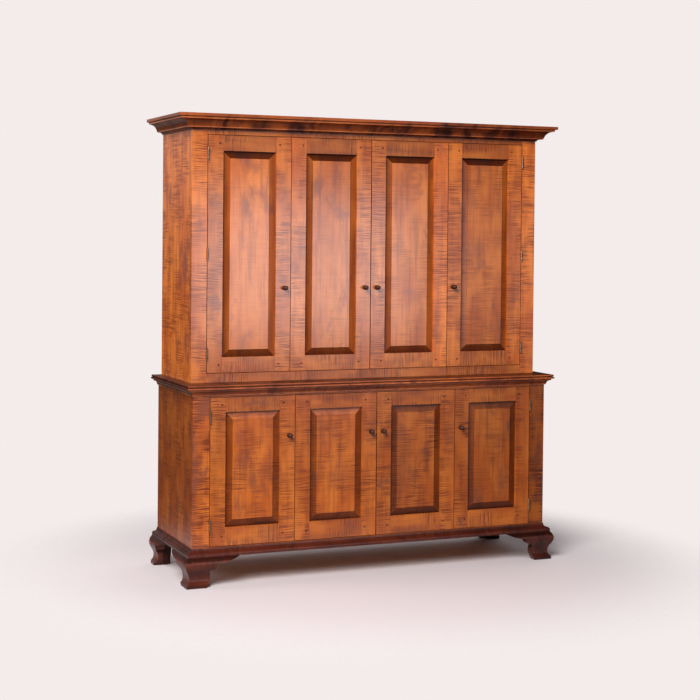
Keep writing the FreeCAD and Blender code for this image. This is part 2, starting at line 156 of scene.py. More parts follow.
class Shader:
    """The nodes of a material or of the world, under construction, and the short ways to add to them."""

    def __init__(self, owner: Union[bpy.types.Material, bpy.types.World]) -> None:
        """Empties the owner's tree.

        Args:
            owner: the material or world that the nodes belong to.
        """
        owner.use_nodes = True
        self.owner = owner
        self.tree = owner.node_tree
        self.tree.nodes.clear()

    def place(self, kind: str, settings: dict[str, Any], sockets: dict[Any, Any]) -> bpy.types.Node:
        """Adds one node.

        Args:
            kind: the node's type.
            settings: properties, set before the sockets.
            sockets: values or links by socket name or number.

        Returns:
            The node.
        """
        made = self.tree.nodes.new(kind)
        for key, value in settings.items():
            setattr(made, key, value)
        for key, value in sockets.items():
            if isinstance(value, Socket):
                self.tree.links.new(value.output, made.inputs[key])
            else:
                made.inputs[key].default_value = value
        return made

    def node(self, kind: str, settings: dict[str, Any], sockets: dict[Any, Any],
             output: Union[int, str] = 0) -> Socket:
        """Adds one node and wraps the output that is asked for."""
        return Socket(self, self.place(kind, settings, sockets).outputs[output])

    def outputs(self, made: bpy.types.Node, *names: str) -> list[Socket]:
        """Several outputs of one node, wrapped."""
        return [Socket(self, made.outputs[name]) for name in names]

    def math(self, operation: str, first: Value, second: Value = 0.0) -> Socket:
        """A Math node on two values."""
        return self.node("ShaderNodeMath", {"operation": operation}, {0: first, 1: second})

    def vector_math(self, operation: str, *values: Any) -> Socket:
        """A Vector Math node that gives a vector."""
        return self.node("ShaderNodeVectorMath", {"operation": operation}, dict(enumerate(values)))

    def measure(self, operation: str, *values: Any) -> Socket:
        """A Vector Math node that gives a value."""
        return self.node("ShaderNodeVectorMath", {"operation": operation}, dict(enumerate(values)), "Value")

    def mix(self, share: Value, first: Any, second: Any, blend: str = "MIX") -> Socket:
        """A Mix node on two colours, which are its sockets 6 and 7 and its output 2.

        Args:
            share: how much of the second colour.
            first: colour or socket.
            second: colour or socket.
            blend: the way of mixing.

        Returns:
            The mixed colour.
        """
        pair = [c if isinstance(c, Socket) else (*c, 1.0) for c in (first, second)]
        settings = {"data_type": "RGBA", "blend_type": blend, "clamp_factor": True}
        return self.node("ShaderNodeMix", settings, {0: share, 6: pair[0], 7: pair[1]}, 2)

    def split(self, vector: Socket) -> list[Socket]:
        """The three values of a vector."""
        return self.outputs(self.place("ShaderNodeSeparateXYZ", {}, {0: vector}), "X", "Y", "Z")

    def object_place(self) -> Socket:
        """The place in the object's own coordinates, in metres."""
        return self.node("ShaderNodeTexCoord", {}, {}, "Object")

    def bump(self, height: Value, strength: float, distance: float) -> Socket:
        """A normal that follows a height."""
        sockets = {"Height": height, "Strength": strength, "Distance": distance}
        return self.node("ShaderNodeBump", {}, sockets)

    def surface(self, sockets: dict[str, Any]) -> bpy.types.Material:
        """Closes the material with a Principled shader.

        Args:
            sockets: values or links by socket name.

        Returns:
            The finished material.
        """
        shader = self.node("ShaderNodeBsdfPrincipled", {}, sockets)
        self.place("ShaderNodeOutputMaterial", {}, {0: shader})
        return self.owner


@dataclass(frozen=True)
class SoftNoise:
    """Soft noise: its cells to a metre along three ways, its detail, and a smooth step where one is set."""

    cells: Place
    detail: float = 1.0
    roughness: float = 0.5
    edges: Optional[Edges] = None

    def on(self, sh: Shader, place: Sequence[Socket], shift: Optional[Socket] = None) -> Socket:
        """The noise at a place.

        Args:
            sh: the material in the making.
            place: metres along the three ways.
            shift: cells to move it along the first way.

        Returns:
            The noise, about 0.5 on average, or its step from 0 to 1.
        """
        first, second, third = (way * count for way, count in zip(place, self.cells))
        if shift is not None:
            first = first + shift
        vector = sh.node("ShaderNodeCombineXYZ", {}, {0: first, 1: second, 2: third})
        sockets = {"Vector": vector, "Scale": 1.0, "Detail": self.detail, "Roughness": self.roughness}
        noise = sh.node("ShaderNodeTexNoise", {}, sockets)
        return noise.between(*self.edges) if self.edges else noise


@dataclass(frozen=True)
class Mark:
    """A dark place in the figure of the fronts: middle and half sizes in X and Z, and how dark it is."""

    x: float
    z: float
    wide: float
    tall: float
    depth: float = 0.6


@dataclass(frozen=True)
class CurlyMaple:
    """Stained curly maple: stripes across the grain, streaks along it, dark clouds, and varnish.

    Places come from the piece's grain attribute, in metres along, across and into each board,
    and the look attribute holds a board's tone, stripe strength, cloud strength and painted shade,
    which is a painted highlight where it is over 1 and also sets the coat.
    Shares say how much of a layer shows, and edges where its smooth step starts and ends.
    """

    name: str
    light: Colour
    body: Colour
    stripe: Colour
    cloud: Colour
    marks: tuple[Mark, ...] = ()
    roughness: float = 0.34
    coat: float = 0.58
    gloss: float = 0.22
    stripes_per_metre: float = 175.0
    wave_pitch: float = 0.6
    wave_edges: Edges = (0.1, 0.95)
    wave_drift: float = 4.0
    wave_sway: float = 1.6
    curl_cells: float = 6.0
    curl_edges: Edges = (0.45, 0.58)
    curl_drift: float = 3.0
    ripple_pitch: float = 2.1
    ripple_cells: float = 11.0
    ripple_edges: Edges = (0.46, 0.62)
    ripple_drift: float = 5.0
    line_shares: tuple[float, float, float] = (0.35, 0.55, 0.4)
    drift: SoftNoise = SoftNoise((6.0, 6.0, 6.0))
    sway: SoftNoise = SoftNoise((22.0, 9.0, 9.0))
    patch: SoftNoise = SoftNoise((8.0, 12.0, 12.0), 2.0, edges=(0.38, 0.6))
    patch_share: float = 0.8
    streaks: SoftNoise = SoftNoise((3.0, 45.0, 45.0), 4.0, 0.6)
    soft_streak_edges: Edges = (0.3, 0.8)
    soft_streak_share: float = 0.22
    dark_streak_edges: Edges = (0.5, 0.68)
    dark_streak_share: float = 0.3
    warmth: SoftNoise = SoftNoise((3.5, 9.0, 9.0), 2.0, edges=(0.36, 0.64))
    clouds: SoftNoise = SoftNoise((5.0, 10.0, 10.0), 3.0, 0.6, (0.52, 0.72))
    cloud_share: float = 0.7
    mark_edges: Edges = (1.25, 0.15)
    mark_front: Edges = (-0.10, -0.14)
    wander_cells: float = 17.0
    wander_detail: float = 4.0
    wander_roughness: float = 0.65
    wander: float = 0.16
    shade_powers: tuple[float, float, float] = (1.0, 1.2, 1.4)
    stripe_roughness: float = 0.10
    cloud_roughness: float = 0.08
    coat_roughness: float = 0.16
    coat_edges: Edges = (0.25, 1.0)
    rubbed_coat: float = 0.4
    rubbed_edges: Edges = (1.0, 2.0)
    stripe_relief: float = 0.6
    streak_relief: float = 0.4
    relief: tuple[float, float] = (0.12, 0.6 * MM)

    def marked(self, sh: Shader) -> Value:
        """How much of the marks lies at a place: the distance from each middle in half sizes, wandering.

        Args:
            sh: the material in the making.

        Returns:
            The darkest mark's share on the fronts, from 0 to 1, and none further back.
        """
        if not self.marks:
            return 0.0
        place = sh.object_place()
        front = sh.split(place)[1].between(*self.mark_front)
        noise = sh.node("ShaderNodeTexNoise", {}, {
            "Vector": place,
            "Scale": self.wander_cells,
            "Detail": self.wander_detail,
            "Roughness": self.wander_roughness,
        }, "Color")
        place = sh.vector_math("MULTIPLY_ADD", noise, (self.wander, 0.0, self.wander), place)
        total: Value = 0.0
        for mark in self.marks:
            middle = (mark.x + self.wander / 2, 0.0, mark.z + self.wander / 2)
            away = sh.vector_math("SUBTRACT", place, middle)
            away = sh.vector_math("MULTIPLY", away, (1.0 / mark.wide, 0.0, 1.0 / mark.tall))
            share = sh.measure("LENGTH", away).between(*self.mark_edges)
            total = sh.math("MAXIMUM", share * mark.depth, total)
        return front * total

    def stripes(self, sh: Shader, place: Sequence[Socket]) -> Socket:
        """Stripes across the grain: a wandering sine wave and two squeezed noises, stronger in patches.

        Args:
            sh: the material in the making.
            place: metres along, across and into the board.

        Returns:
            The stripes, from 0 to a little over 1.
        """
        pitch = self.stripes_per_metre
        drift = self.drift.on(sh, place)
        cells = (pitch, self.curl_cells, self.curl_cells)
        curl = SoftNoise(cells, 2.0, 0.6, self.curl_edges).on(sh, place, drift * self.curl_drift)
        cells = (pitch * self.ripple_pitch, self.ripple_cells, self.ripple_cells)
        ripple = SoftNoise(cells, edges=self.ripple_edges).on(sh, place, drift * self.ripple_drift)
        phase = place[0] * (pitch * self.wave_pitch) + drift * self.wave_drift
        phase = phase + self.sway.on(sh, place) * self.wave_sway
        wave = sh.math("SINE", phase * math.tau).between(*self.wave_edges)
        wave_share, curl_share, ripple_share = self.line_shares
        lines = wave * wave_share + curl * curl_share + ripple * ripple_share
        return lines * (self.patch.on(sh, place) * self.patch_share + (1.0 - self.patch_share))

    def material(self) -> bpy.types.Material:
        """Builds the wood.

        Returns:
            The material, with colour, gloss and a slight relief from one set of stripes.
        """
        sh = Shader(bpy.data.materials.new(self.name))
        place = sh.split(sh.node("ShaderNodeAttribute", {"attribute_name": GRAIN}, {}, "Vector"))
        looks = sh.place("ShaderNodeAttribute", {"attribute_name": LOOK}, {})
        look, shade = sh.outputs(looks, "Color", "Alpha")
        tone, curl_share, cloud_share = sh.split(look)
        stripes = self.stripes(sh, place)
        streaks = self.streaks.on(sh, place)
        clouds = self.clouds.on(sh, place)
        soft_streaks = streaks.between(*self.soft_streak_edges) * self.soft_streak_share
        dark_streaks = streaks.between(*self.dark_streak_edges) * cloud_share * self.dark_streak_share
        dark = sh.math("MAXIMUM", clouds * cloud_share * self.cloud_share, self.marked(sh))
        base = sh.mix(self.warmth.on(sh, place), self.light, self.body)
        for share in (soft_streaks, dark_streaks, stripes * curl_share):
            base = sh.mix(share, base, self.stripe)
        base = sh.mix(dark, base, self.cloud)
        level = tone + MIDDLE_TONE
        depths = [level * sh.math("POWER", shade, power) for power in self.shade_powers]
        # The board's tone times its painted shade, or its painted highlight where the shade is over 1.
        stain = sh.node("ShaderNodeCombineColor", {}, dict(enumerate(depths)))
        coat = shade.between(*self.coat_edges) * self.coat
        return sh.surface({
            "Base Color": sh.mix(1.0, base, stain, "MULTIPLY"),
            "Roughness": stripes * self.stripe_roughness + clouds * self.cloud_roughness + self.roughness,
            "Specular IOR Level": self.gloss,
            # Faces with a painted highlight, a shade over 1, also get more coat.
            "Coat Weight": shade.between(*self.rubbed_edges) * self.rubbed_coat + coat,
            "Coat Roughness": self.coat_roughness,
            "Normal": sh.bump(stripes * self.stripe_relief + streaks * self.streak_relief, *self.relief),
        })


@dataclass(frozen=True)
class PlainMaple:
    """Oiled maple inside the cases, with the grain along X of the object's own coordinates."""

    name: str
    light: Colour
    dark: Colour
    streaks: SoftNoise = SoftNoise((2.2, 60.0, 60.0), 3.0)
    streak_edges: Edges = (0.32, 0.7)
    streak_share: float = 0.8
    flecks: SoftNoise = SoftNoise((40.0, 260.0, 260.0))
    fleck_edges: Edges = (0.5, 0.8)
    fleck_share: float = 0.2
    roughness: float = 0.5
    roughness_spread: float = 0.2
    relief: tuple[float, float] = (0.15, 0.4 * MM)

    def material(self) -> bpy.types.Material:
        """Builds the wood.

        Returns:
            The material, with long streaks and a dull finish.
        """
        sh = Shader(bpy.data.materials.new(self.name))
        place = sh.split(sh.object_place())
        streaks = self.streaks.on(sh, place)
        flecks = self.flecks.on(sh, place)
        share = streaks.between(*self.streak_edges) * self.streak_share
        share = share + flecks.between(*self.fleck_edges) * self.fleck_share
        return sh.surface({
            "Base Color": sh.mix(share, self.light, self.dark),
            "Roughness": streaks * self.roughness_spread + self.roughness,
            "Normal": sh.bump(flecks, *self.relief),
        })


@dataclass(frozen=True)
class TurnedWood:
    """Dark polished wood of the knobs and pegs, with the grain along Y."""

    name: str
    light: Colour
    dark: Colour
    roughness: float
    polish: float
    gloss: float
    pores: SoftNoise = SoftNoise((700.0, 160.0, 700.0), 2.0)
    pore_edges: Edges = (0.35, 0.7)
    roughness_spread: float = 0.2
    polish_roughness: float = 0.12
    relief: tuple[float, float] = (0.1, 0.3 * MM)

    def material(self) -> bpy.types.Material:
        """Builds the wood.

        Returns:
            The material, with fine pores.
        """
        sh = Shader(bpy.data.materials.new(self.name))
        pores = self.pores.on(sh, sh.split(sh.object_place()))
        return sh.surface({
            "Base Color": sh.mix(pores.between(*self.pore_edges), self.light, self.dark),
            "Roughness": pores * self.roughness_spread + self.roughness,
            "Specular IOR Level": self.gloss,
            "Coat Weight": self.polish,
            "Coat Roughness": self.polish_roughness,
            "Normal": sh.bump(pores, *self.relief),
        })


@dataclass(frozen=True)
class DullBrass:
    """Brass of the hinges, gone dull and brown with handling."""

    name: str
    bright: Colour
    tarnish: Colour
    patches: SoftNoise = SoftNoise((120.0, 120.0, 70.0), 3.0, 0.6, (0.36, 0.66))
    metallic: float = 0.9
    roughness: float = 0.24
    roughness_spread: float = 0.22
    relief: tuple[float, float] = (0.1, 0.3 * MM)

    def material(self) -> bpy.types.Material:
        """Builds the metal.

        Returns:
            The material, with patches of tarnish that are rougher than the rest.
        """
        sh = Shader(bpy.data.materials.new(self.name))
        patches = self.patches.on(sh, sh.split(sh.object_place()))
        return sh.surface({
            "Base Color": sh.mix(patches, self.bright, self.tarnish),
            "Metallic": self.metallic,
            "Roughness": patches * self.roughness_spread + self.roughness,
            "Normal": sh.bump(patches, *self.relief),
        })


@dataclass(frozen=True)
class MouldedPlastic:
    """Brown plastic of the magnetic catches."""

    name: str
    colour: Colour
    speck: Colour
    grain: SoftNoise = SoftNoise((900.0, 900.0, 900.0), 2.0)
    grain_edges: Edges = (0.4, 0.7)
    roughness: float = 0.5
    roughness_spread: float = 0.2
    relief: tuple[float, float] = (0.2, 0.2 * MM)

    def material(self) -> bpy.types.Material:
        """Builds the plastic.

        Returns:
            The material, with a fine grain.
        """
        sh = Shader(bpy.data.materials.new(self.name))
        grain = self.grain.on(sh, sh.split(sh.object_place()))
        return sh.surface({
            "Base Color": sh.mix(grain.between(*self.grain_edges), self.colour, self.speck),
            "Roughness": grain * self.roughness_spread + self.roughness,
            "Normal": sh.bump(grain, *self.relief),
        })


UPPER_MARKS = (
    Mark(-0.74, 1.66, 0.03, 0.04), Mark(-0.74, 1.22, 0.03, 0.04), Mark(-0.42, 1.68, 0.03, 0.04),
    Mark(-0.34, 1.44, 0.025, 0.03, 0.4), Mark(-0.18, 1.68, 0.03, 0.03), Mark(-0.15, 1.61, 0.05, 0.03),
    Mark(0.02, 1.77, 0.02, 0.045), Mark(0.06, 1.91, 0.04, 0.02), Mark(0.21, 1.81, 0.065, 0.03, 0.5),
    Mark(0.24, 1.75, 0.025, 0.06, 0.4), Mark(0.13, 1.45, 0.045, 0.06, 0.35),
    Mark(0.22, 1.24, 0.05, 0.045, 0.4), Mark(0.51, 1.68, 0.04, 0.07, 0.45),
    Mark(0.54, 1.45, 0.055, 0.085, 0.5),
)
LOWER_MARKS = (
    Mark(-0.82, 0.50, 0.02, 0.03, 0.9), Mark(-0.63, 0.52, 0.05, 0.06, 0.5),
    Mark(-0.53, 0.45, 0.03, 0.08, 0.5), Mark(-0.65, 0.63, 0.03, 0.05, 0.5),
    Mark(-0.58, 0.78, 0.10, 0.02), Mark(-0.18, 0.44, 0.055, 0.06, 0.35), Mark(-0.12, 0.21, 0.055, 0.03),
    Mark(0.11, 0.64, 0.045, 0.10, 0.5), Mark(0.135, 0.45, 0.065, 0.13, 0.4),
    Mark(0.03, 0.39, 0.025, 0.04, 0.8), Mark(0.43, 0.41, 0.02, 0.04, 0.8),
    Mark(0.44, 0.195, 0.02, 0.025, 0.9), Mark(0.82, 0.66, 0.03, 0.02), Mark(0.83, 0.47, 0.035, 0.03, 0.8),
    Mark(0.82, 0.385, 0.03, 0.02, 0.7), Mark(0.83, 0.285, 0.03, 0.02),
)
CORNICE_MARKS = (
    Mark(-0.55, 1.987, 0.055, 0.044, 0.7), Mark(-0.37, 1.987, 0.065, 0.044, 0.9),
    Mark(0.14, 1.987, 0.045, 0.044, 0.75), Mark(0.35, 1.987, 0.075, 0.048, 1.0),
    Mark(0.47, 1.987, 0.040, 0.046, 1.0), Mark(0.60, 1.987, 0.040, 0.044, 0.85),
    Mark(0.72, 1.987, 0.045, 0.044, 0.75),
)


@dataclass
class Palette:
    """All the finishes of the cabinet, each built once."""

    maple: bpy.types.Material = field(default_factory=CurlyMaple(
        "curly_maple", light=(0.71, 0.190, 0.024), body=(0.54, 0.118, 0.013), stripe=(0.19, 0.032, 0.007),
        cloud=(0.24, 0.062, 0.030), marks=UPPER_MARKS + LOWER_MARKS).material)
    moulding: bpy.types.Material = field(default_factory=CurlyMaple(
        "moulding_maple", light=(0.36, 0.080, 0.014), body=(0.24, 0.046, 0.010), stripe=(0.05, 0.009, 0.005),
        cloud=(0.04, 0.008, 0.006), stripes_per_metre=17.0, coat=0.12, gloss=0.2,
        marks=CORNICE_MARKS).material)
    dark: bpy.types.Material = field(default_factory=CurlyMaple(
        "dark_maple", light=(0.15, 0.028, 0.012), body=(0.10, 0.017, 0.008), stripe=(0.035, 0.007, 0.005),
        cloud=(0.03, 0.007, 0.006), stripes_per_metre=60.0, coat=0.12, gloss=0.2).material)
    back: bpy.types.Material = field(default_factory=CurlyMaple(
        "back_maple", light=(0.54, 0.26, 0.095), body=(0.44, 0.185, 0.058), stripe=(0.29, 0.11, 0.032),
        cloud=(0.30, 0.12, 0.036), roughness=0.55, coat=0.0).material)
    inside: bpy.types.Material = field(default_factory=PlainMaple(
        "inside_boards", light=(0.56, 0.27, 0.10), dark=(0.40, 0.16, 0.05)).material)
    knob: bpy.types.Material = field(default_factory=TurnedWood(
        "knob_wood", light=(0.070, 0.020, 0.012), dark=(0.026, 0.008, 0.006), roughness=0.3, polish=0.1,
        gloss=0.3).material)
    peg: bpy.types.Material = field(default_factory=TurnedWood(
        "peg_wood", light=(0.11, 0.026, 0.010), dark=(0.050, 0.012, 0.006), roughness=0.6, polish=0.0,
        gloss=0.1).material)
    brass: bpy.types.Material = field(default_factory=DullBrass(
        "hinge_brass", bright=(0.46, 0.31, 0.20), tarnish=(0.20, 0.12, 0.07)).material)
    plastic: bpy.types.Material = field(default_factory=MouldedPlastic(
        "catch_housing", colour=(0.10, 0.06, 0.04), speck=(0.07, 0.04, 0.03)).material)


@dataclass(frozen=True)
class BoardLook:
    """How one board differs from the next: 0.5 is a middling tone, 1 is full figure and no shade."""

    tone: float = MIDDLE_TONE
    curl: float = 0.8
    cloud: float = 0.7
    shade: float = 1.0

    def row(self) -> np.ndarray:
        """The four values in the order of the look attribute."""
        return np.array([self.tone, self.curl, self.cloud, self.shade])


def arc(start: np.ndarray, middle: np.ndarray, end: np.ndarray, steps: int) -> np.ndarray:
    """Points of the circle through three points: centre plus radius times cosine and sine of the turn.

    Args:
        start: first point.
        middle: a point on the way.
        end: last point.
        steps: number of points after the first.

    Returns:
        The points from just after start to end.
    """
    chords = np.array([middle - start, end - start])
    centre = start + np.linalg.solve(chords, 0.5 * (chords ** 2).sum(1))
    turns = np.unwrap([math.atan2(*(point - centre)[::-1]) for point in (start, middle, end)])
    angle = np.linspace(turns[0], turns[2], steps + 1)[1:]
    return centre + np.linalg.norm(start - centre) * np.stack([np.cos(angle), np.sin(angle)], 1)


def trace(profile: Profile, steps: int = 8) -> np.ndarray:
    """Points along a profile of straight stretches and arcs.

    Args:
        profile: rows in millimetres. A row of two is a corner. A row of four is an arc through its first
            point to its second.
        steps: number of points on each arc.

    Returns:
        The points in metres.
    """
    points = [np.array([profile[0]], float)]
    for entry in profile[1:]:
        end = np.array(entry[-2:], float)
        if len(entry) == 4:
            points.append(arc(points[-1][-1], np.array(entry[:2], float), end, steps))
        else:
            points.append(end[None])
    return np.concatenate(points) * MM


def lattice(rows: int, columns: int, closed: bool) -> np.ndarray:
    """Four-sided faces of a grid of points numbered row by row.

    Args:
        rows: number of rows.
        columns: points in each row.
        closed: whether the last column joins the first.

    Returns:
        An array of four point numbers for each face.
    """
    i, j = np.meshgrid(np.arange(rows - 1), np.arange(columns if closed else columns - 1), indexing="ij")
    k = (j + 1) % columns
    faces = np.stack([i * columns + j, i * columns + k, (i + 1) * columns + k, (i + 1) * columns + j], -1)
    return faces.reshape(-1, 4)


EVEN_SHADING: Profile = ((0, 1, 1),)


class Piece:
    """One object in the making: surfaces with their grain places and board looks.

    Upright fillets of a moulding that are lower than fillet get a painted highlight. Edges of a board
    get painted shade for the gaps between parts, or a painted highlight. Its corners have a point at each of
    corner_turns, and its ends a ring at each of end_lifts, in degrees.
    """

    fillet = 8.0 * MM
    level_slack = 0.2 * MM
    rubbed = 1.6
    dark_edge = 0.22
    worn_edge = 1.15
    corner_turns = (0.0, 45.0, 90.0)
    end_lifts = (15.0, 45.0, 90.0)
    grain_spread = 20.0

    def __init__(self, name: str) -> None:
        """Starts an empty piece.

        Args:
            name: the object's name, which also seeds the places of its grain.
        """
        self.name = name
        self.random = np.random.default_rng(zlib.crc32(name.encode()))
        self.points: list[np.ndarray] = []
        self.grain: list[np.ndarray] = []
        self.looks: list[np.ndarray] = []
        self.faces: list[list[int]] = []
        self.slots: list[int] = []
        self.count = 0

    def vary(self, look: BoardLook, tone: float = 0.07, curl: float = 0.2, cloud: float = 0.25) -> BoardLook:
        """The look of one more board, a little off the given one."""
        shifts = self.random.uniform(-1.0, 1.0, 3) * (tone, curl, cloud)
        return BoardLook(look.tone + shifts[0], max(0.0, look.curl + shifts[1]),
                         max(0.0, look.cloud + shifts[2]), look.shade)

    def add(self, points: np.ndarray, faces: Iterable[Sequence[int]], axis: Axis,
            look: Union[BoardLook, np.ndarray], slot: int = 0, stain: Union[float, np.ndarray] = 1.0) -> None:
        """Adds one closed surface and turns it so that its faces look outwards.

        Args:
            points: places of the points.
            faces: point numbers of each face.
            axis: the way of the grain.
            look: one look for all faces, or an array with a row for each.
            slot: number of its material.
            stain: painted shade of all points, an array with one for each, or a row of four for each
                four-sided face.
        """
        faces = [list(map(int, face)) for face in faces]
        fans = np.array([(f[0], f[k], f[k + 1]) for f in faces for k in range(1, len(f) - 1)])
        a, b, c = (points[fans[:, k]] for k in range(3))
        if np.einsum("ij,ij->", a, np.cross(b, c)) < 0:
            faces = [face[::-1] for face in faces]
            stain = np.asarray(stain)[..., ::-1] if np.ndim(stain) == 2 else stain
        size = np.ptp(points, axis=0)
        others = sorted((k for k in range(3) if k != axis.value), key=lambda k: -size[k])
        order = [axis.value] + others
        self.grain.append(points[:, order] + self.random.uniform(0.0, self.grain_spread, 3))
        rows = look.row() if isinstance(look, BoardLook) else look
        sizes = [len(face) for face in faces]
        looks = np.repeat(np.broadcast_to(rows, (len(faces), 4)), sizes, axis=0)
        if np.ndim(stain) < 2:
            stain = np.broadcast_to(stain, len(points))[np.concatenate(faces)]
        looks[:, 3] *= np.ravel(stain)
        self.looks.append(looks)
        self.points.append(points)
        self.faces += [[k + self.count for k in face] for face in faces]
        self.slots += [slot] * len(faces)
        self.count += len(points)

    def finish(self, materials: Sequence[bpy.types.Material], body: str, slot: str,
               nodes: Sequence[str] = (), smooth: float = 20.0, arris: float = 0.0) -> bpy.types.Object:
        """Makes the object, dresses it and hangs it on its body.

        Args:
            materials: its materials in the order of their numbers.
            body: the body that it moves with.
            slot: the record's material slot; not used.
            nodes: the nodes that it stands for.
            smooth: edges under this angle in degrees are shaded smooth.
            arris: width of the softening of sharp edges, if any.

        Returns:
            The object.
        """
        mesh = bpy.data.meshes.new(self.name)
        mesh.from_pydata(np.concatenate(self.points), [], self.faces)
        grain = mesh.attributes.new(GRAIN, "FLOAT_VECTOR", "POINT")
        grain.data.foreach_set("vector", np.concatenate(self.grain).astype(np.float32).ravel())
        look = mesh.attributes.new(LOOK, "FLOAT_COLOR", "CORNER")
        look.data.foreach_set("color", np.concatenate(self.looks).astype(np.float32).ravel())
        for material in materials:
            mesh.materials.append(material)
        mesh.polygons.foreach_set("material_index", np.array(self.slots, np.int32))
        mesh.polygons.foreach_set("use_smooth", np.ones(len(self.faces), bool))
        mesh.set_sharp_from_angle(angle=math.radians(smooth))
        mesh.update()
        made = bpy.data.objects.new(self.name, mesh)
        bpy.context.scene.collection.objects.link(made)
        if arris:
            bevel = made.modifiers.new("softened_edges", "BEVEL")
            bevel.width = arris
            bevel.segments = 2
            bevel.limit_method = "ANGLE"
            bevel.harden_normals = True
            bevel.angle_limit = math.radians(smooth)
        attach(made, body)
        if nodes:
            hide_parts(*nodes)
        LOG.info("%s: %d points, %d faces, on %s", self.name, self.count, len(self.faces), body)
        return made

    def board(self, low: Sequence[float], high: Sequence[float], axis: Axis, look: BoardLook,
              arris: float = 0.7 * MM, slot: int = 0, dark: Sequence[BoardEdge] = (),
              highlighted_edges: Sequence[BoardEdge] = ()) -> None:
        """A straight board with softened edges.

        A rounded rectangle is carried along the grain. Near each end its corners draw in on a
        quarter circle: the ring's corner radius is the arris times the sine of the turn, and its
        distance from the end is the arris times one less the cosine.

        Args:
            low: lowest corner.
            high: highest corner.
            axis: the way of the grain.
            look: the board's look.
            arris: radius of the softened edges.
            slot: number of its material.
            dark: edges that get painted shade, for the shade in the gaps between parts.
            highlighted_edges: edges that get a painted highlight, where they catch the light.
        """
        low, high = np.minimum(low, high), np.maximum(low, high)
        k, p, q = axis.value, (axis.value + 1) % 3, (axis.value + 2) % 3
        half = (high - low) / 2
        turn = np.radians(np.arange(4)[:, None] * 90.0 + np.array(self.corner_turns)).ravel()
        sign_p = np.repeat([1.0, -1.0, -1.0, 1.0], len(self.corner_turns))
        sign_q = np.repeat([1.0, 1.0, -1.0, -1.0], len(self.corner_turns))
        lift = np.radians(self.end_lifts)
        radius = arris * np.sin(np.concatenate([lift, lift[::-1]]))
        inset = arris * (1 - np.cos(lift))
        along = np.concatenate([-half[k] + inset, (half[k] - inset)[::-1]])
        rings, ring = len(along), len(turn)
        points = np.empty((rings, ring, 3))
        points[..., k] = along[:, None]
        points[..., p] = sign_p * (half[p] - arris) + radius[:, None] * np.cos(turn)
        points[..., q] = sign_q * (half[q] - arris) + radius[:, None] * np.sin(turn)
        faces = lattice(rings, ring, True).tolist()
        around = np.append(np.arange(len(faces)) % ring, BoardEdge.ENDS.value * 2)
        faces += [list(range(ring))[::-1], list(range((rings - 1) * ring, rings * ring))]
        looks = np.tile(look.row(), (len(faces), 1))
        for edges, shade in ((dark, self.dark_edge), (highlighted_edges, self.worn_edge)):
            for edge in edges:
                looks[np.isin(around, edge.value), 3] *= shade
        self.add(points.reshape(-1, 3) + (low + high) / 2, faces, axis, looks, slot)

    def turned(self, profile: np.ndarray, centre: Sequence[float], axis: Axis, sign: float,
               sides: int = 32, slot: int = 0) -> None:
        """A turned form: radius and height of the profile, swung round the axis.

        Args:
            profile: rows of radius and distance along the axis, the first and last on the axis.
            centre: where the distance is nought.
            axis: the turning axis.
            sign: way of the distance along the axis.
            sides: number of steps round the axis.
            slot: number of its material.
        """
        k, p, q = axis.value, (axis.value + 1) % 3, (axis.value + 2) % 3
        turn = np.arange(sides) * math.tau / sides
        rings = profile[1:-1]
        points = np.empty((len(rings), sides, 3))
        points[..., k] = sign * rings[:, 1:]
        points[..., p] = rings[:, :1] * np.cos(turn)
        points[..., q] = rings[:, :1] * np.sin(turn)
        tips = np.zeros((2, 3))
        tips[:, k] = sign * profile[[0, -1], 1]
        count = len(rings) * sides
        ring = np.arange(sides)
        first = np.stack([np.full(sides, count), (ring + 1) % sides, ring], 1)
        last = count - sides + np.stack([ring, (ring + 1) % sides, np.full(sides, sides + 1)], 1)
        faces = lattice(len(rings), sides, True).tolist() + first.tolist() + last.tolist()
        places = np.concatenate([points.reshape(-1, 3), tips]) + np.asarray(centre, float)
        self.add(places, faces, axis, BoardLook(), slot)

    def run(self, section: np.ndarray, axis: Axis, look: BoardLook, stain: Profile = EVEN_SHADING,
            fade: tuple[float, float] = (1.0, 1.0)) -> None:
        """A length of moulding: two or more like sections joined by a ruled surface and closed.

        Args:
            section: array of stations by profile points by three.
            axis: the way of the grain.
            look: its look.
            stain: rows of height over the lowest point in millimetres, and the painted shade or highlight and
                the stripes there.
            fade: painted shade of the first and the last section, even between them.
        """
        stations, count = section.shape[:2]
        faces = lattice(stations, count, True).tolist()
        faces += [list(range(count))[::-1], list(range((stations - 1) * count, stations * count))]
        looks = np.tile(look.row(), (len(faces), 1))
        step = np.roll(section[0], -1, axis=0) - section[0]
        level = np.linalg.norm(step[:, :2], axis=1)
        fillet = (level < self.level_slack) & (np.abs(step[:, 2]) < self.fillet)
        height = section[0, :, 2] + step[:, 2] / 2 - section[0, :, 2].min()
        levels, shades, stripes = np.transpose(stain)
        # Narrow upright fillets get a painted highlight.
        shade = np.where(fillet, self.rubbed, 1.0) * np.interp(height / MM, levels, shades)
        looks[:-2, 1] *= np.tile(np.interp(height / MM, levels, stripes), stations - 1)
        looks[:-2, 3] *= np.tile(shade, stations - 1)
        fades = np.repeat(np.linspace(*fade, stations), count)
        self.add(section.reshape(-1, 3), faces, axis, looks, stain=fades)


def corners(node: str) -> tuple[np.ndarray, np.ndarray]:
    """Lowest and highest corner of a node at rest."""
    low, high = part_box(node)
    return np.array(low), np.array(high)


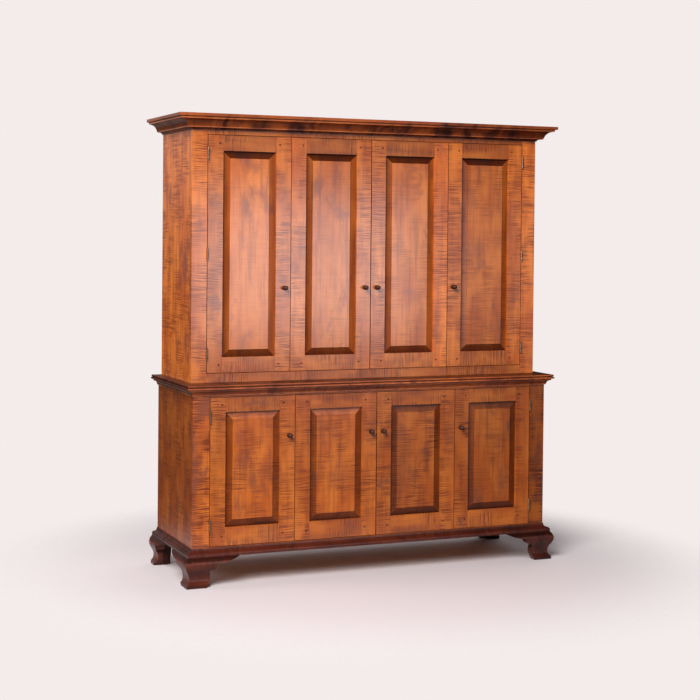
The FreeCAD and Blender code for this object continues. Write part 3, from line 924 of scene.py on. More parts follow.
@dataclass
class Case:
    """Boards of one case that show from outside: sides, face frame and boarded back."""

    row: Row
    palette: Palette
    node_prefix: str
    side_look: BoardLook
    stile_looks: tuple[BoardLook, BoardLook]
    rail_looks: tuple[BoardLook, BoardLook]
    back_look: BoardLook = BoardLook(tone=0.56, curl=0.3, cloud=0.4)
    back_spread: float = 0.16
    back_arris: float = 1.2 * MM
    board_count: int = 9
    door_gap: float = 2.0 * MM

    def sides(self) -> None:
        """Two side boards with upright grain."""
        for side in Side:
            node = f"{self.node_prefix}_{side.word}_side"
            piece = Piece(f"{node}_board")
            piece.board(*corners(node), Axis.Z, self.side_look)
            piece.finish([self.palette.maple], "case", "curly_maple", [node])

    def face_frame(self) -> None:
        """Two stiles of full height and two rails between them, flush with the doors."""
        node = f"{self.node_prefix}_face_frame"
        low, high = corners(node)
        door_low, door_high = corners(f"{self.row.word}_right_outer_frame")
        inner = door_high[0] + self.door_gap
        piece = Piece(f"{node}_boards")
        # The stiles and rails get painted shade on their edges beside the doors, for the gaps.
        for side, look, edge in zip(Side, self.stile_looks, (BoardEdge.HIGH_P, BoardEdge.LOW_P)):
            start, end = sorted((side.value * inner, side.value * high[0]))
            piece.board((start, low[1], low[2]), (end, high[1], high[2]), Axis.Z, look, dark=(edge,))
        heights = ((low[2], door_low[2] - self.door_gap), (door_high[2] + self.door_gap, high[2]))
        for (bottom, top), look, edge in zip(heights, self.rail_looks, (BoardEdge.HIGH_Q, BoardEdge.LOW_Q)):
            piece.board((-inner, low[1], bottom), (inner, high[1], top), Axis.X, look, dark=(edge,))
        piece.finish([self.palette.maple], "case", "curly_maple", [node])

    def back(self) -> None:
        """Upright boards side by side, the middle one short for the cables."""
        node = f"{self.node_prefix}_back_boards"
        low, high = corners(node)
        edges = np.linspace(low[0], high[0], self.board_count + 1)
        piece = Piece(f"{node}_planed")
        for k in range(self.board_count):
            bottom, top = self.short_board() if k == self.board_count // 2 else (low[2], high[2])
            look = piece.vary(self.back_look, tone=self.back_spread)
            start, end = (edges[k], low[1], bottom), (edges[k + 1], high[1], top)
            piece.board(start, end, Axis.Z, look, self.back_arris)
        piece.finish([self.palette.back], "case", "inside_boards", [node])

    def short_board(self) -> tuple[float, float]:
        """Finds the short middle board of the back.

        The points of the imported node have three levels: its bottom, its top and the notch. The board
        takes the longer stretch from the notch.

        Returns:
            Its bottom and top.
        """
        mesh = frame["nodes"][f"{self.node_prefix}_back_boards"].data
        places = np.empty(len(mesh.vertices) * 3, np.float32)
        mesh.vertices.foreach_get("co", places)
        heights = places.reshape(-1, 3)[:, 2]
        low, cut, high = np.unique(heights.round(5)).tolist()
        return (low, cut) if cut - low > high - cut else (cut, high)

    def build(self) -> None:
        """All the boards of the case."""
        self.sides()
        self.face_frame()
        self.back()


@dataclass
class RaisedPanel:
    """Sizes of a raised panel, measured from the window of its frame and the face of the door.

    The shades are painted shade on the four bevels, and the end grain of the top and foot bevels also takes
    darker stain.
    Rim shades, in the order foot, right, top and left, are painted shadow of the frame on each bevel where it
    meets the frame.
    Bevel bands are the rings of faces that take the bevels' shades, and rim faces are the four that lie along
    the frame.
    """

    bevel_bands = slice(1, 5)
    rim_faces = slice(8, 12)

    left_shade: float = 0.58
    right_shade: float = 0.70
    top_shade: float = 0.17
    foot_shade: float = 0.34
    rim_shades: tuple[float, ...] = (0.5, 0.95, 0.5, 0.5)
    bevel: float = 32.0 * MM
    soft_rim: float = 28.0 * MM
    shoulder: float = 2.5 * MM
    soft_shoulder: float = 0.5 * MM
    recess: float = 2.0 * MM
    side_tongue: float = 9.0 * MM
    foot_tongue: float = 10.0 * MM
    front: float = 10.0 * MM
    back: float = 15.0 * MM

    @property
    def slope(self) -> float:
        """Rise of the bevel towards the field for each unit of its width."""
        return (self.front - self.recess - self.shoulder) / self.bevel

    def window(self, node: str) -> tuple[np.ndarray, np.ndarray]:
        """Lowest and highest corner of the frame's window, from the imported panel."""
        low, high = corners(node)
        return low + (self.side_tongue, 0, self.foot_tongue), high - (self.side_tongue, 0, self.side_tongue)

    def add_to(self, piece: Piece, node: str, face_y: float, look: BoardLook) -> None:
        """Adds the panel: rectangles, each further in and nearer the front, joined in a ring.

        Args:
            piece: the object in the making.
            node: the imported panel.
            face_y: face of the door.
            look: the board's look.
        """
        outline, window, soft = corners(node), self.window(node), self.soft_shoulder
        steps = [
            (outline, 0.0, self.back),
            (outline, 0.0, self.front),
            (window, 0.0, self.front),
            (window, self.soft_rim, self.front - self.soft_rim * self.slope),
            (window, self.bevel - soft, self.recess + self.shoulder),
            (window, self.bevel, self.recess + soft),
            (window, self.bevel + soft, self.recess),
        ]
        rings = []
        for (low, high), inset, depth in steps:
            x = np.array([low[0] + inset, high[0] - inset])
            z = np.array([low[2] + inset, high[2] - inset])
            rings.append(np.stack([x[[0, 1, 1, 0]], np.full(4, face_y + depth), z[[0, 0, 1, 1]]], 1))
        count = len(rings)
        faces = lattice(count, 4, True).tolist() + [[3, 2, 1, 0], list(range(4 * count - 4, 4 * count))]
        looks = np.tile(look.row(), (len(faces), 1))
        shades = np.ones((count - 1, 4))
        shades[self.bevel_bands] = (self.foot_shade, self.right_shade, self.top_shade, self.left_shade)
        looks[:-2, 3] *= shades.ravel()
        # Painted shadow of the frame along the rims of the bevels.
        stain = np.ones((len(faces), 4))
        stain[self.rim_faces, :2] = np.array(self.rim_shades)[:, None]
        piece.add(np.concatenate(rings), faces, Axis.Z, looks, stain=stain)


@dataclass
class Hinge:
    """A butt hinge: leaves let into the edges and a barrel of three knuckles that stands proud.

    The rows of pin_dome are shares of the pin's radius with their rise, and those of screw_head are a
    radius with its rise. Screw places are shares of the hinge's height and of the leaf's width.
    """

    height: float = 55.0 * MM
    leaf_width: float = 18.0 * MM
    leaf: float = 1.5 * MM
    leaf_arris: float = 0.2 * MM
    leaf_reach: float = 0.6
    proud: float = 0.15 * MM
    knuckle: float = 4.0 * MM
    knuckle_soft: float = 0.35 * MM
    standoff: float = 5.0 * MM
    play: float = 0.3 * MM
    gap: float = 2.0 * MM
    pin_radius: float = 2.2 * MM
    pin_dome: Profile = ((1.0, 0.0), (0.8, 0.5 * MM), (0.4, 0.75 * MM), (0.0, 0.8 * MM))
    screw_head: Profile = (
        (0, 0.0), (2.6 * MM, 0.0), (2.6 * MM, 0.25 * MM), (2.08 * MM, 0.4 * MM), (0.9 * MM, 0.1 * MM),
        (0, 0.1 * MM))
    screw_places: Profile = ((-0.33, 0.35), (0.0, 0.65), (0.33, 0.35))

    def barrel(self, piece: Piece, axis: np.ndarray, low: float, high: float) -> None:
        """One knuckle: a cylinder with softened rims.

        Args:
            piece: the object in the making.
            axis: X and Y of the pin.
            low: its bottom.
            high: its top.
        """
        r, soft = self.knuckle, self.knuckle_soft
        lower = [(0, low), (r - soft, low), (r, low + soft)]
        upper = [(r, high - soft), (r - soft, high), (0, high)]
        piece.turned(np.array(lower + upper), (axis[0], axis[1], 0.0), Axis.Z, 1.0, sides=20)

    def pin(self, piece: Piece, axis: np.ndarray, middle: float) -> None:
        """The pin, with a low dome at each end of the barrel.

        Args:
            piece: the object in the making.
            axis: X and Y of the pin.
            middle: height of the hinge's middle.
        """
        r, half = self.pin_radius, self.height / 2
        up = [(r * share, middle + half + rise) for share, rise in self.pin_dome]
        down = [(r * share, middle - half - rise) for share, rise in self.pin_dome[::-1]]
        piece.turned(np.array(down + up), (axis[0], axis[1], 0.0), Axis.Z, 1.0, sides=16)

    def half(self, piece: Piece, axis: np.ndarray, middle: float, side: int, into: int, outer: bool) -> None:
        """One leaf with its knuckles and screws.

        Args:
            piece: the object in the making.
            axis: X and Y of the pin.
            middle: height of the hinge's middle.
            side: sign of X from the pin to the leaf.
            into: sign of Y from the pin to the wood.
            outer: whether this leaf has the top and bottom knuckles, or the middle one.
        """
        half, third = self.height / 2, self.height / 6
        face = axis[0] + side * (self.gap / 2 - self.proud)
        wood_y = axis[1] + into * self.standoff
        x = sorted((face, axis[0] + side * (self.gap / 2 + self.leaf)))
        y = sorted((axis[1] + into * self.knuckle * self.leaf_reach, wood_y + into * self.leaf_width))
        low, high = (x[0], y[0], middle - half), (x[1], y[1], middle + half)
        piece.board(low, high, Axis.Z, BoardLook(), self.leaf_arris)
        spans = [(-half, -third), (third, half)] if outer else [(-third, third)]
        for start, end in spans:
            self.barrel(piece, axis, middle + start + self.play / 2, middle + end - self.play / 2)
        for shift, share in self.screw_places:
            place = (face, wood_y + into * self.leaf_width * share, middle + shift * self.height)
            piece.turned(np.array(self.screw_head), place, Axis.X, -side, sides=12)


@dataclass
class DoorLeaf:
    """One framed door with its raised panel, pegs, knob and hinge halves."""

    row: Row
    side: Side
    leaf: Leaf
    palette: Palette
    stile_looks: tuple[BoardLook, BoardLook]
    rail_looks: tuple[BoardLook, BoardLook]
    panel_look: BoardLook
    panel: RaisedPanel = field(default_factory=RaisedPanel)
    hinge: Hinge = field(default_factory=Hinge)
    peg: float = 7.6 * MM
    peg_from_edge: float = 16.0 * MM
    peg_proud: float = 0.25 * MM
    peg_length: float = 6.0 * MM
    peg_arris: float = 0.6 * MM
    strike_reach: tuple[float, float] = (6.0 * MM, 26.0 * MM)
    strike_height: float = 14.0 * MM
    strike_thickness: float = 1.5 * MM
    strike_arris: float = 0.3 * MM
    knob_profile: Profile = (
        (0, 0), (10.0, 0), (10.4, 2.2, 9.6, 4.6), (7.8, 7.4, 7.1, 11), (7.3, 14.4, 8.6, 17),
        (10.1, 21.4, 9.0, 26.2), (5.6, 29.8, 0, 31))

    @property
    def pair(self) -> str:
        """Start of the names that the two leaves of a pair share."""
        return f"{self.row.word}_{self.side.word}"

    @property
    def name(self) -> str:
        """Start of the names of its nodes."""
        return f"{self.pair}_{self.leaf.value}"

    @property
    def body(self) -> str:
        """The body that it moves with."""
        return f"{self.name}_door"

    def frame_boards(self) -> None:
        """Two stiles, two rails between them, and a peg at each joint."""
        node = f"{self.name}_frame"
        low, high = corners(node)
        window_low, window_high = self.panel.window(f"{self.name}_panel")
        piece = Piece(f"{node}_boards")
        stiles = ((low[0], window_low[0]), (window_high[0], high[0]))
        rails = ((low[2], window_low[2]), (window_high[2], high[2]))
        edges = (BoardEdge.LOW_P, BoardEdge.HIGH_P)
        # Outer edges and ends get painted shade for the gaps round the door, and inner stile edges a painted
        # highlight.
        for (start, end), look, outer, inner in zip(stiles, self.stile_looks, edges, edges[::-1]):
            piece.board((start, low[1], low[2]), (end, high[1], high[2]), Axis.Z, look,
                        dark=(outer, BoardEdge.ENDS), highlighted_edges=(inner,))
        for (bottom, top), look, edge in zip(rails, self.rail_looks, (BoardEdge.LOW_Q, BoardEdge.HIGH_Q)):
            piece.board((window_low[0], low[1], bottom), (window_high[0], high[1], top), Axis.X, look,
                        dark=(edge,))
        half = self.peg / 2
        face = low[1] - self.peg_proud
        for x in (window_low[0] - self.peg_from_edge, window_high[0] + self.peg_from_edge):
            for bottom, top in rails:
                z = (bottom + top) / 2
                piece.board((x - half, face, z - half), (x + half, face + self.peg_length, z + half),
                            Axis.Y, BoardLook(), self.peg_arris, 1)
        piece.finish([self.palette.maple, self.palette.peg], self.body, "curly_maple", [node])

    def raised_panel(self) -> None:
        """The panel in its groove."""
        node = f"{self.name}_panel"
        piece = Piece(f"{node}_board")
        self.panel.add_to(piece, node, corners(f"{self.name}_frame")[0][1], self.panel_look)
        piece.finish([self.palette.maple], self.body, "curly_maple", [node], smooth=3.0)

    def knob(self) -> None:
        """A turned knob: flange, waisted neck and domed head."""
        node = f"{self.name}_knob"
        low, high = corners(node)
        middle = (low + high) / 2
        piece = Piece(f"{node}_turned")
        piece.turned(trace(self.knob_profile), (middle[0], high[1], middle[2]), Axis.Y, -1.0)
        piece.finish([self.palette.knob], self.body, "knob_wood", [node], smooth=50.0)

    def heights(self) -> np.ndarray:
        """Spreads the hinges evenly between the lowest and the highest.

        Returns:
            Heights of their middles.
        """
        low, high = corners(f"{self.pair}_outer_hardware")
        half = self.hinge.height / 2
        return np.linspace(low[2] + half, high[2] - half, self.row.hinges)

    def pins(self, motion: str) -> np.ndarray:
        """X and Y of the pins of this pair's swing or fold."""
        joint = next(j for j in frame["joints"] if j["name"] == f"{self.pair}_door_{motion}")
        return np.array(joint["pos_m"][:2])

    def hardware(self) -> None:
        """Hinge leaves of this door, the pins that it carries, and the strike plate."""
        node = f"{self.name}_hardware"
        piece = Piece(f"{node}_brass")
        sign = self.side.value
        for z in self.heights():
            if self.leaf is Leaf.OUTER:
                self.hinge.half(piece, self.pins("swing"), z, -sign, 1, False)
                self.hinge.half(piece, self.pins("fold"), z, sign, -1, True)
                self.hinge.pin(piece, self.pins("fold"), z)
            else:
                self.hinge.half(piece, self.pins("fold"), z, -sign, -1, False)
        if self.leaf is Leaf.INNER:
            self.strike(piece, corners(node)[1][2])
        piece.finish([self.palette.brass], self.body, "hinge_brass", [node])

    def strike(self, piece: Piece, top: float) -> None:
        """A thin plate on the back of the door, where the catch holds it.

        Args:
            piece: the object in the making.
            top: its upper edge.
        """
        back = corners(f"{self.name}_frame")[1][1]
        start, end = sorted(self.side.value * reach for reach in self.strike_reach)
        low, high = (start, back, top - self.strike_height), (end, back + self.strike_thickness, top)
        piece.board(low, high, Axis.Z, BoardLook(), self.strike_arris)

    def build(self) -> None:
        """All the pieces of the door."""
        self.frame_boards()
        self.raised_panel()
        self.knob()
        self.hardware()

    def case_hinges(self, leaves: Piece, pins: Piece) -> None:
        """Adds the case's halves of this door's hinges, and their pins.

        Args:
            leaves: the case's hinge leaves in the making.
            pins: their pins in the making.
        """
        for z in self.heights():
            self.hinge.half(leaves, self.pins("swing"), z, self.side.value, 1, True)
            self.hinge.pin(pins, self.pins("swing"), z)


@dataclass
class MouldingRun:
    """A moulding round three sides of a case: a front length and two returns, mitred."""

    node: str
    profile: Profile
    material: bpy.types.Material
    front_look: BoardLook
    return_look: BoardLook
    stain: Profile = EVEN_SHADING
    # Painted highlight on the fillets of the returns.
    return_rubbed: float = 2.6
    # Painted light and shade along the front length, lighter at its left end and darker at its right.
    front_fade: tuple[float, float] = (1.0, 1.0)

    def build(self) -> None:
        """Carries the profile along the three lengths.

        A point that stands out by p from the case lies p in front of its face and p beyond its
        side, so that the lengths meet at 45 degrees.
        """
        low, high = corners(self.node)
        points = trace(self.profile)
        out, up = points[:, 0], points[:, 1] + low[2]
        reach = out.max()
        half, face, back = high[0] - reach, low[1] + reach, high[1]
        piece = Piece(f"{self.node}_lengths")
        signs = [float(side.value) for side in Side]
        mitres = [np.stack([sign * (half + out), face - out, up], 1) for sign in signs]
        piece.run(np.array(mitres), Axis.X, self.front_look, self.stain, self.front_fade)
        piece.rubbed = self.return_rubbed
        for sign, mitre in zip(signs, mitres):
            tail = np.stack([sign * (half + out), np.full_like(out, back), up], 1)
            piece.run(np.array([mitre, tail]), Axis.Y, self.return_look, self.stain)
        piece.finish([self.material], "case", "dark_maple", [self.node], smooth=32.0, arris=0.5 * MM)


@dataclass
class WaistBoard:
    """The board between the cases, with a thumb moulding on its front and sides."""

    material: bpy.types.Material
    look: BoardLook
    edge: Profile = ((31.5, 0), (36, 5, 31.5, 10), (30, 10), (30, 13), (33.5, 13), (33.5, 17.5), (32, 19))
    # Painted highlight and shade on the faces of the edge from the bottom up; painted shade on the ends and
    # the top ledge.
    edge_shades: tuple[float, ...] = (1.3, 2.0, 2.2, 2.0, 1.5, 0.6, 0.4, 0.35, 0.35, 0.3, 0.3, 1.5, 1.3)
    end_shade: float = 0.24
    top_shade: float = 0.28

    def build(self) -> None:
        """Carries the edge round three sides and closes the top, the underside and the back."""
        node = "waist_board"
        low, high = corners(node)
        points = trace(self.edge)
        out, up = points[:, 0], points[:, 1] + low[2]
        reach = out.max()
        half, face, back = high[0] - reach, low[1] + reach, np.full(len(out), high[1])
        path = [(-half - out, back), (-half - out, face - out), (half + out, face - out), (half + out, back)]
        rings = np.array([np.stack([x, y, up], 1) for x, y in path])
        count = len(out)
        faces = lattice(len(path), count, False).tolist()
        number = np.arange(len(path) * count).reshape(len(path), count)
        closing = (number[:, -1], number[::-1, 0], np.concatenate([number[0, ::-1], number[-1]]))
        faces += [face.tolist() for face in closing]
        edge = np.array(self.edge_shades)
        end = edge * self.end_shade
        looks = np.tile(self.look.row(), (len(faces), 1))
        looks[:, 3] *= np.concatenate([end, edge, end, [self.top_shade, 1.0, 1.0]])
        piece = Piece(f"{node}_planed")
        piece.add(rings.reshape(-1, 3), faces, Axis.X, looks)
        piece.finish([self.material], "case", "dark_maple", [node], smooth=32.0, arris=0.5 * MM)


@dataclass
class BracketFoot:
    """An ogee bracket foot: shaped brackets on its show sides, and blocks behind them.

    Profiles are in millimetres. The ogee gives how far the face stands out at a height, the edges are
    the sawn outlines of leg, wing and rear bracket, and the painted shading gives painted shade and highlight
    at a height: a dark toe, a highlight line, and the shadow band under the base moulding.
    """

    material: bpy.types.Material
    look: BoardLook
    inner: float = -5.0 * MM
    height: float = 130.0 * MM
    reach: float = 205.0 * MM
    block: float = 40.0 * MM
    block_clear: float = 4.0 * MM
    rear_board: float = 22.0 * MM
    outermost: float = 40.0 * MM
    columns: int = 18
    # Painted shade on the boards behind the shaped brackets.
    hidden_shade: float = 0.45
    ogee: Profile = (
        (26, 130), (39.98, 101, 31.2, 75.2), (21, 57.3, 17.5, 37), (22.6, 20.6, 36, 10), (37.5, 7.5), (31, 0))
    ogee_steps: int = 16
    leg_edge: Profile = ((57, 0), (63, 12), (75, 38, 70, 69), (76, 76))
    wing_edge: Profile = ((76, 76), (84, 76), (98, 83, 104, 104), (108, 102), (157, 111, 205, 128))
    rear_edge: Profile = ((50, 0), (55, 60), (68, 92, 100, 110), (100, 130))
    stain: Profile = (
        (0, 0.55), (9, 0.6), (14, 1.0), (60, 0.95), (100, 1.0), (112, 1.1), (116, 0.4), (130, 0.35))

    @property
    def hidden_look(self) -> BoardLook:
        """Look of the boards behind the shaped brackets."""
        return replace(self.look, shade=self.hidden_shade)

    def outward(self, z: np.ndarray) -> np.ndarray:
        """How far the shaped face stands out at each height."""
        points = trace(self.ogee, self.ogee_steps)[::-1]
        return np.interp(z, points[:, 1], points[:, 0])

    def bracket(self, piece: Piece, origin: np.ndarray, inboard: np.ndarray, away: np.ndarray,
                mitred: bool) -> None:
        """One shaped bracket.

        A grid runs from the sawn edge to the corner of the foot and along its top. Each point of
        it, inboard by u at height z, stands out by the ogee's amount at z. The back is flat.

        Args:
            piece: the object in the making.
            origin: the case's corner at the floor.
            inboard: unit vector along the bracket.
            away: unit vector out of its face.
            mitred: whether it meets another bracket at the corner.
        """
        leg_edge = trace(self.leg_edge)
        edge = np.concatenate([leg_edge, trace(self.wing_edge)[1:]])
        count, leg, steps = len(edge), len(leg_edge), self.columns
        lift = np.concatenate([np.linspace(0.0, self.height, leg), np.full(count - leg, self.height)])
        top_u = np.linspace(0.0, 1.0, count - leg + 1)[1:]
        share = np.linspace(0.0, 1.0, steps)[None, :, None]
        upright = np.array([0.0, 0.0, 1.0])
        sheets = []
        for flat in (False, True):
            out = np.full(count, self.inner) if flat else self.outward(lift)
            corner = -out if mitred else np.zeros(count)
            along = np.concatenate([corner[:leg], corner[-1] + top_u * (self.reach - corner[-1])])
            far = np.stack([along, lift], 1)
            plane = edge[:, None, :] * (1 - share) + far[:, None, :] * share
            stand = np.full(plane.shape[:2], self.inner) if flat else self.outward(plane[..., 1])
            across, rise = plane[..., :1] * inboard, plane[..., 1:] * upright
            sheets.append(origin + across + stand[..., None] * away + rise)
        number = np.arange(count * steps).reshape(count, steps)
        shell = lattice(count, steps, False)
        other = count * steps
        faces = shell.tolist() + (shell[:, ::-1] + other).tolist()
        for rim in (number[:, 0], number[::-1, -1], number[0, ::-1], number[-1]):
            strip = np.stack([rim[:-1], rim[1:], rim[1:] + other, rim[:-1] + other], 1)
            faces += strip.tolist()
        axis = Axis.X if abs(inboard[0]) > 0.5 else Axis.Y
        points = np.concatenate(sheets).reshape(-1, 3)
        height = np.array([points[face, 2].mean() for face in faces])
        looks = np.tile(piece.vary(self.look).row(), (len(faces), 1))
        looks[:, 3] *= np.interp(height / MM, *np.transpose(self.stain))
        piece.add(points, faces, axis, looks)

    def rear_bracket(self, piece: Piece, corner_x: float, sign: float, back: float) -> None:
        """The plain sawn bracket of a back foot: its outline on two sheets, joined.

        Args:
            piece: the object in the making.
            corner_x: where its outer end lies.
            sign: sign of X from the middle of the cabinet.
            back: Y of its back.
        """
        outline = np.concatenate([trace(self.rear_edge), [[0.0, self.height], [0.0, 0.0]]])
        sheets = [np.stack([corner_x - sign * outline[:, 0], np.full(len(outline), y), outline[:, 1]], 1)
                  for y in (back - self.rear_board, back)]
        piece.run(np.array(sheets), Axis.X, self.hidden_look)

    def build(self, place: str, side: Side) -> None:
        """One foot.

        Args:
            place: front or rear.
            side: left or right.
        """
        node = f"{place}_{side.word}_foot"
        low, high = corners(node)
        sign = float(side.value)
        case_x = (high[0] if sign > 0 else -low[0]) - self.outermost
        inner_x = sign * (case_x + self.inner)
        piece = Piece(f"{node}_shaped")
        outwards, forwards = np.array([sign, 0.0, 0.0]), np.array([0.0, -1.0, 0.0])
        if place == "front":
            face = low[1] + self.outermost
            origin = np.array([sign * case_x, face, 0.0])
            self.bracket(piece, origin, -outwards, forwards, True)
            self.bracket(piece, origin, -forwards, outwards, True)
            start = face - self.inner
        else:
            origin = np.array([sign * case_x, high[1], 0.0])
            self.bracket(piece, origin, forwards, outwards, False)
            self.rear_bracket(piece, inner_x, sign, high[1])
            start = high[1] - self.rear_board - self.block
        piece.board((inner_x, start, self.block_clear),
                    (inner_x - sign * self.block, start + self.block, self.height), Axis.Z, self.hidden_look)
        piece.finish([self.material], "case", "dark_maple", [node], smooth=35.0)


@dataclass
class Inside:
    """Boards and catches inside the cases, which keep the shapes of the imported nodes."""

    palette: Palette
    boards: tuple[str, ...] = ("base_bottom_board", "upper_bottom_board", "upper_top_board", "base_divider",
                               "base_shelves", "upper_shelf", "shelf_cleats")
    catches: tuple[str, ...] = ("door_catches",)

    def dress(self) -> None:
        """Gives each node its finish."""
        for nodes, material in ((self.boards, self.palette.inside), (self.catches, self.palette.plastic)):
            for node in nodes:
                mesh = frame["nodes"][node].data
                mesh.materials.clear()
                mesh.materials.append(material)
                LOG.info("%s: packed shape in %s", node, material.name)


WARM: Colour = (1.0, 0.98, 0.95)
COOL: Colour = (0.95, 0.94, 1.0)


@dataclass(frozen=True)
class SoftLamp:
    """A soft rectangular lamp that faces a target. A card shows in the varnish alone and lights nothing."""

    name: str
    place: Place
    target: Place
    size: tuple[float, float]
    power: float
    colour: Colour
    card: bool = False

    def build(self) -> None:
        """Hangs the lamp and turns it to its target."""
        data = bpy.data.lights.new(self.name, "AREA")
        data.shape = "RECTANGLE"
        data.size, data.size_y = self.size
        data.energy = self.power
        data.color = self.colour
        made = bpy.data.objects.new(self.name, data)
        made.location = self.place
        made.rotation_euler = (Vector(self.target) - Vector(self.place)).to_track_quat("-Z", "Y").to_euler()
        made.visible_diffuse = not self.card
        bpy.context.scene.collection.objects.link(made)


@dataclass
class Studio:
    """Camera, lamps, floor and surroundings.

    Angles are in degrees. The lens axis meets the picture at axis_row, counted from its top. In the world,
    fill lights from one way, and the backdrop shows in gloss above and below the level of the camera.
    """

    camera_place: Place = (-2.8043, -6.5337, 1.5269)
    camera_turn: float = -22.987
    camera_tilt: float = -1.034
    camera_roll: float = 0.528
    focal_pixels: float = 1535.6
    axis_row: float = 260.0
    image_pixels: float = 700.0
    sensor: float = 36.0
    lamps: tuple[SoftLamp, ...] = (
        SoftLamp("key", (-3.9, -4.4, 4.6), (-0.2, -0.2, 1.0), (3.6, 3.6), 670.0, WARM),
        SoftLamp("card", (2.1, -6.5, 1.2), (0.0, -0.2, 1.3), (2.1, 1.3), 77.0, COOL, card=True),
        SoftLamp("edge_card", (4.3, -6.5, 1.2), (0.0, -0.2, 1.3), (1.4, 1.3), 7.0, COOL, card=True),
        SoftLamp("side_fill", (-5.0, 1.2, 2.6), (-0.85, 0.1, 1.5), (1.5, 1.5), 50.0, WARM),
    )
    floor_paper: Colour = (0.77, 0.71, 0.74)
    floor_radius: float = 2.0
    floor_hole: float = 0.02
    floor_rings: int = 24
    floor_sides: int = 64
    floor_fade: Edges = (0.95, 1.85)
    floor_roughness: float = 0.8
    floor_gloss: float = 0.1
    pale: Colour = (0.90, 0.84, 0.83)
    ambient: Colour = (0.028, 0.018, 0.034)
    dim: Colour = (0.03, 0.03, 0.03)
    fill: Colour = (0.75, 0.72, 0.69)
    fill_from: Place = (0.55, 0.45, 0.70)
    fill_edges: Edges = (0.72, 0.95)
    backdrop_edges: Edges = (0.86, 0.95)
    above_edges: Edges = (-0.05, 0.08)
    above_share: float = 0.5
    below_edges: Edges = (-0.20, -0.30)
    below_share: float = 0.25

    def camera(self) -> None:
        """Sets the camera by its turn from +Y, its tilt and its roll, with the lens axis above the middle."""
        turn, tilt, roll = (math.radians(a) for a in (self.camera_turn, self.camera_tilt, self.camera_roll))
        ahead = Vector((-math.sin(turn) * math.cos(tilt), math.cos(turn) * math.cos(tilt), math.sin(tilt)))
        level = ahead.cross(Vector((0, 0, 1))).normalized()
        above = level.cross(ahead)
        right = level * math.cos(roll) + above * math.sin(roll)
        up = above * math.cos(roll) - level * math.sin(roll)
        data = bpy.data.cameras.new("camera")
        data.sensor_width = self.sensor
        data.lens = self.focal_pixels / self.image_pixels * self.sensor
        data.shift_y = -(self.image_pixels / 2 - self.axis_row) / self.image_pixels
        made = bpy.data.objects.new("camera", data)
        aim = Matrix((right, up, -ahead)).transposed().to_4x4()
        made.matrix_world = Matrix.Translation(self.camera_place) @ aim
        bpy.context.scene.collection.objects.link(made)
        bpy.context.scene.camera = made

    def floor(self) -> None:
        """A disc, ring by ring, that fades out into the pale surroundings."""
        rings, sides = self.floor_rings, self.floor_sides
        radii = np.linspace(self.floor_hole, self.floor_radius, rings)
        radius, turn = np.meshgrid(radii, np.arange(sides) * math.tau / sides, indexing="ij")
        points = np.stack([radius * np.cos(turn), radius * np.sin(turn), np.zeros_like(turn)], -1)
        mesh = bpy.data.meshes.new("floor")
        faces = lattice(rings, sides, True).tolist() + [list(range(sides))]
        mesh.from_pydata(points.reshape(-1, 3), [], faces)
        sh = Shader(bpy.data.materials.new("floor_paper"))
        distance = sh.measure("LENGTH", sh.object_place())
        mesh.materials.append(sh.surface({
            "Base Color": (*self.floor_paper, 1.0),
            "Roughness": self.floor_roughness,
            "Specular IOR Level": self.floor_gloss,
            "Alpha": 1.0 - distance.between(*self.floor_fade),
        }))
        made = bpy.data.objects.new("floor", mesh)
        bpy.context.scene.collection.objects.link(made)

    def surroundings(self) -> None:
        """A pale world for the camera, and for gloss that looks behind the cabinet, in a dim room."""
        world = bpy.data.worlds.new("studio")
        bpy.context.scene.world = world
        sh = Shader(world)
        rays = sh.place("ShaderNodeLightPath", {}, {})
        direct, glossy, through = sh.outputs(rays, "Is Camera Ray", "Is Glossy Ray", "Is Transmission Ray")
        way = sh.node("ShaderNodeTexCoord", {}, {}, "Generated")
        towards = sh.measure("DOT_PRODUCT", way, self.fill_from)
        ahead, rise = sh.split(way)[1:]
        bands = rise.between(*self.above_edges) * self.above_share
        bands = bands + rise.between(*self.below_edges) * self.below_share
        backdrop = ahead.between(*self.backdrop_edges) * bands
        seen = sh.math("MINIMUM", direct + glossy * backdrop + through, 1.0)
        soft = sh.mix(towards.between(*self.fill_edges), self.ambient, self.fill)
        soft = sh.mix(glossy, soft, self.dim)
        colour = sh.mix(seen, soft, self.pale)
        light = sh.node("ShaderNodeBackground", {}, {"Color": colour, "Strength": 1.0})
        sh.place("ShaderNodeOutputWorld", {}, {0: light})

    def build(self) -> None:
        """Camera, lamps, floor and world."""
        self.camera()
        for lamp in self.lamps:
            lamp.build()
        self.floor()
        self.surroundings()
        bpy.context.scene.view_settings.view_transform = "Standard"


CORNICE = (
    (0, 0), (5, 0), (5, 2), (10.5, 7.4, 23, 9.5), (28, 9.5), (28, 14), (30, 14), (40, 34, 63, 44.5),
    (67, 44.5), (67, 52), (78, 54), (78, 67), (0, 67))
# Painted light by height on the cornice: shade in the coves and under the fascia, highlight on the upper
# fillet.
CORNICE_SHADING = (
    (0, 0.75, 1), (9.6, 0.75, 1), (9.7, 1, 0.3), (13, 1, 0.3), (14, 0.85, 1), (30, 0.9, 1), (44, 1, 1),
    (46, 1.1, 0.3), (51, 1.1, 0.3), (52.5, 0.5, 0.3), (53.5, 0.5, 0.3), (54, 0.85, 0.3))
WAIST_COVE = ((0, 0), (6, 0), (6, 4.5), (8, 4.5), (12.4, 16, 23, 20.5), (24.5, 20.5), (24.5, 28), (0, 28))
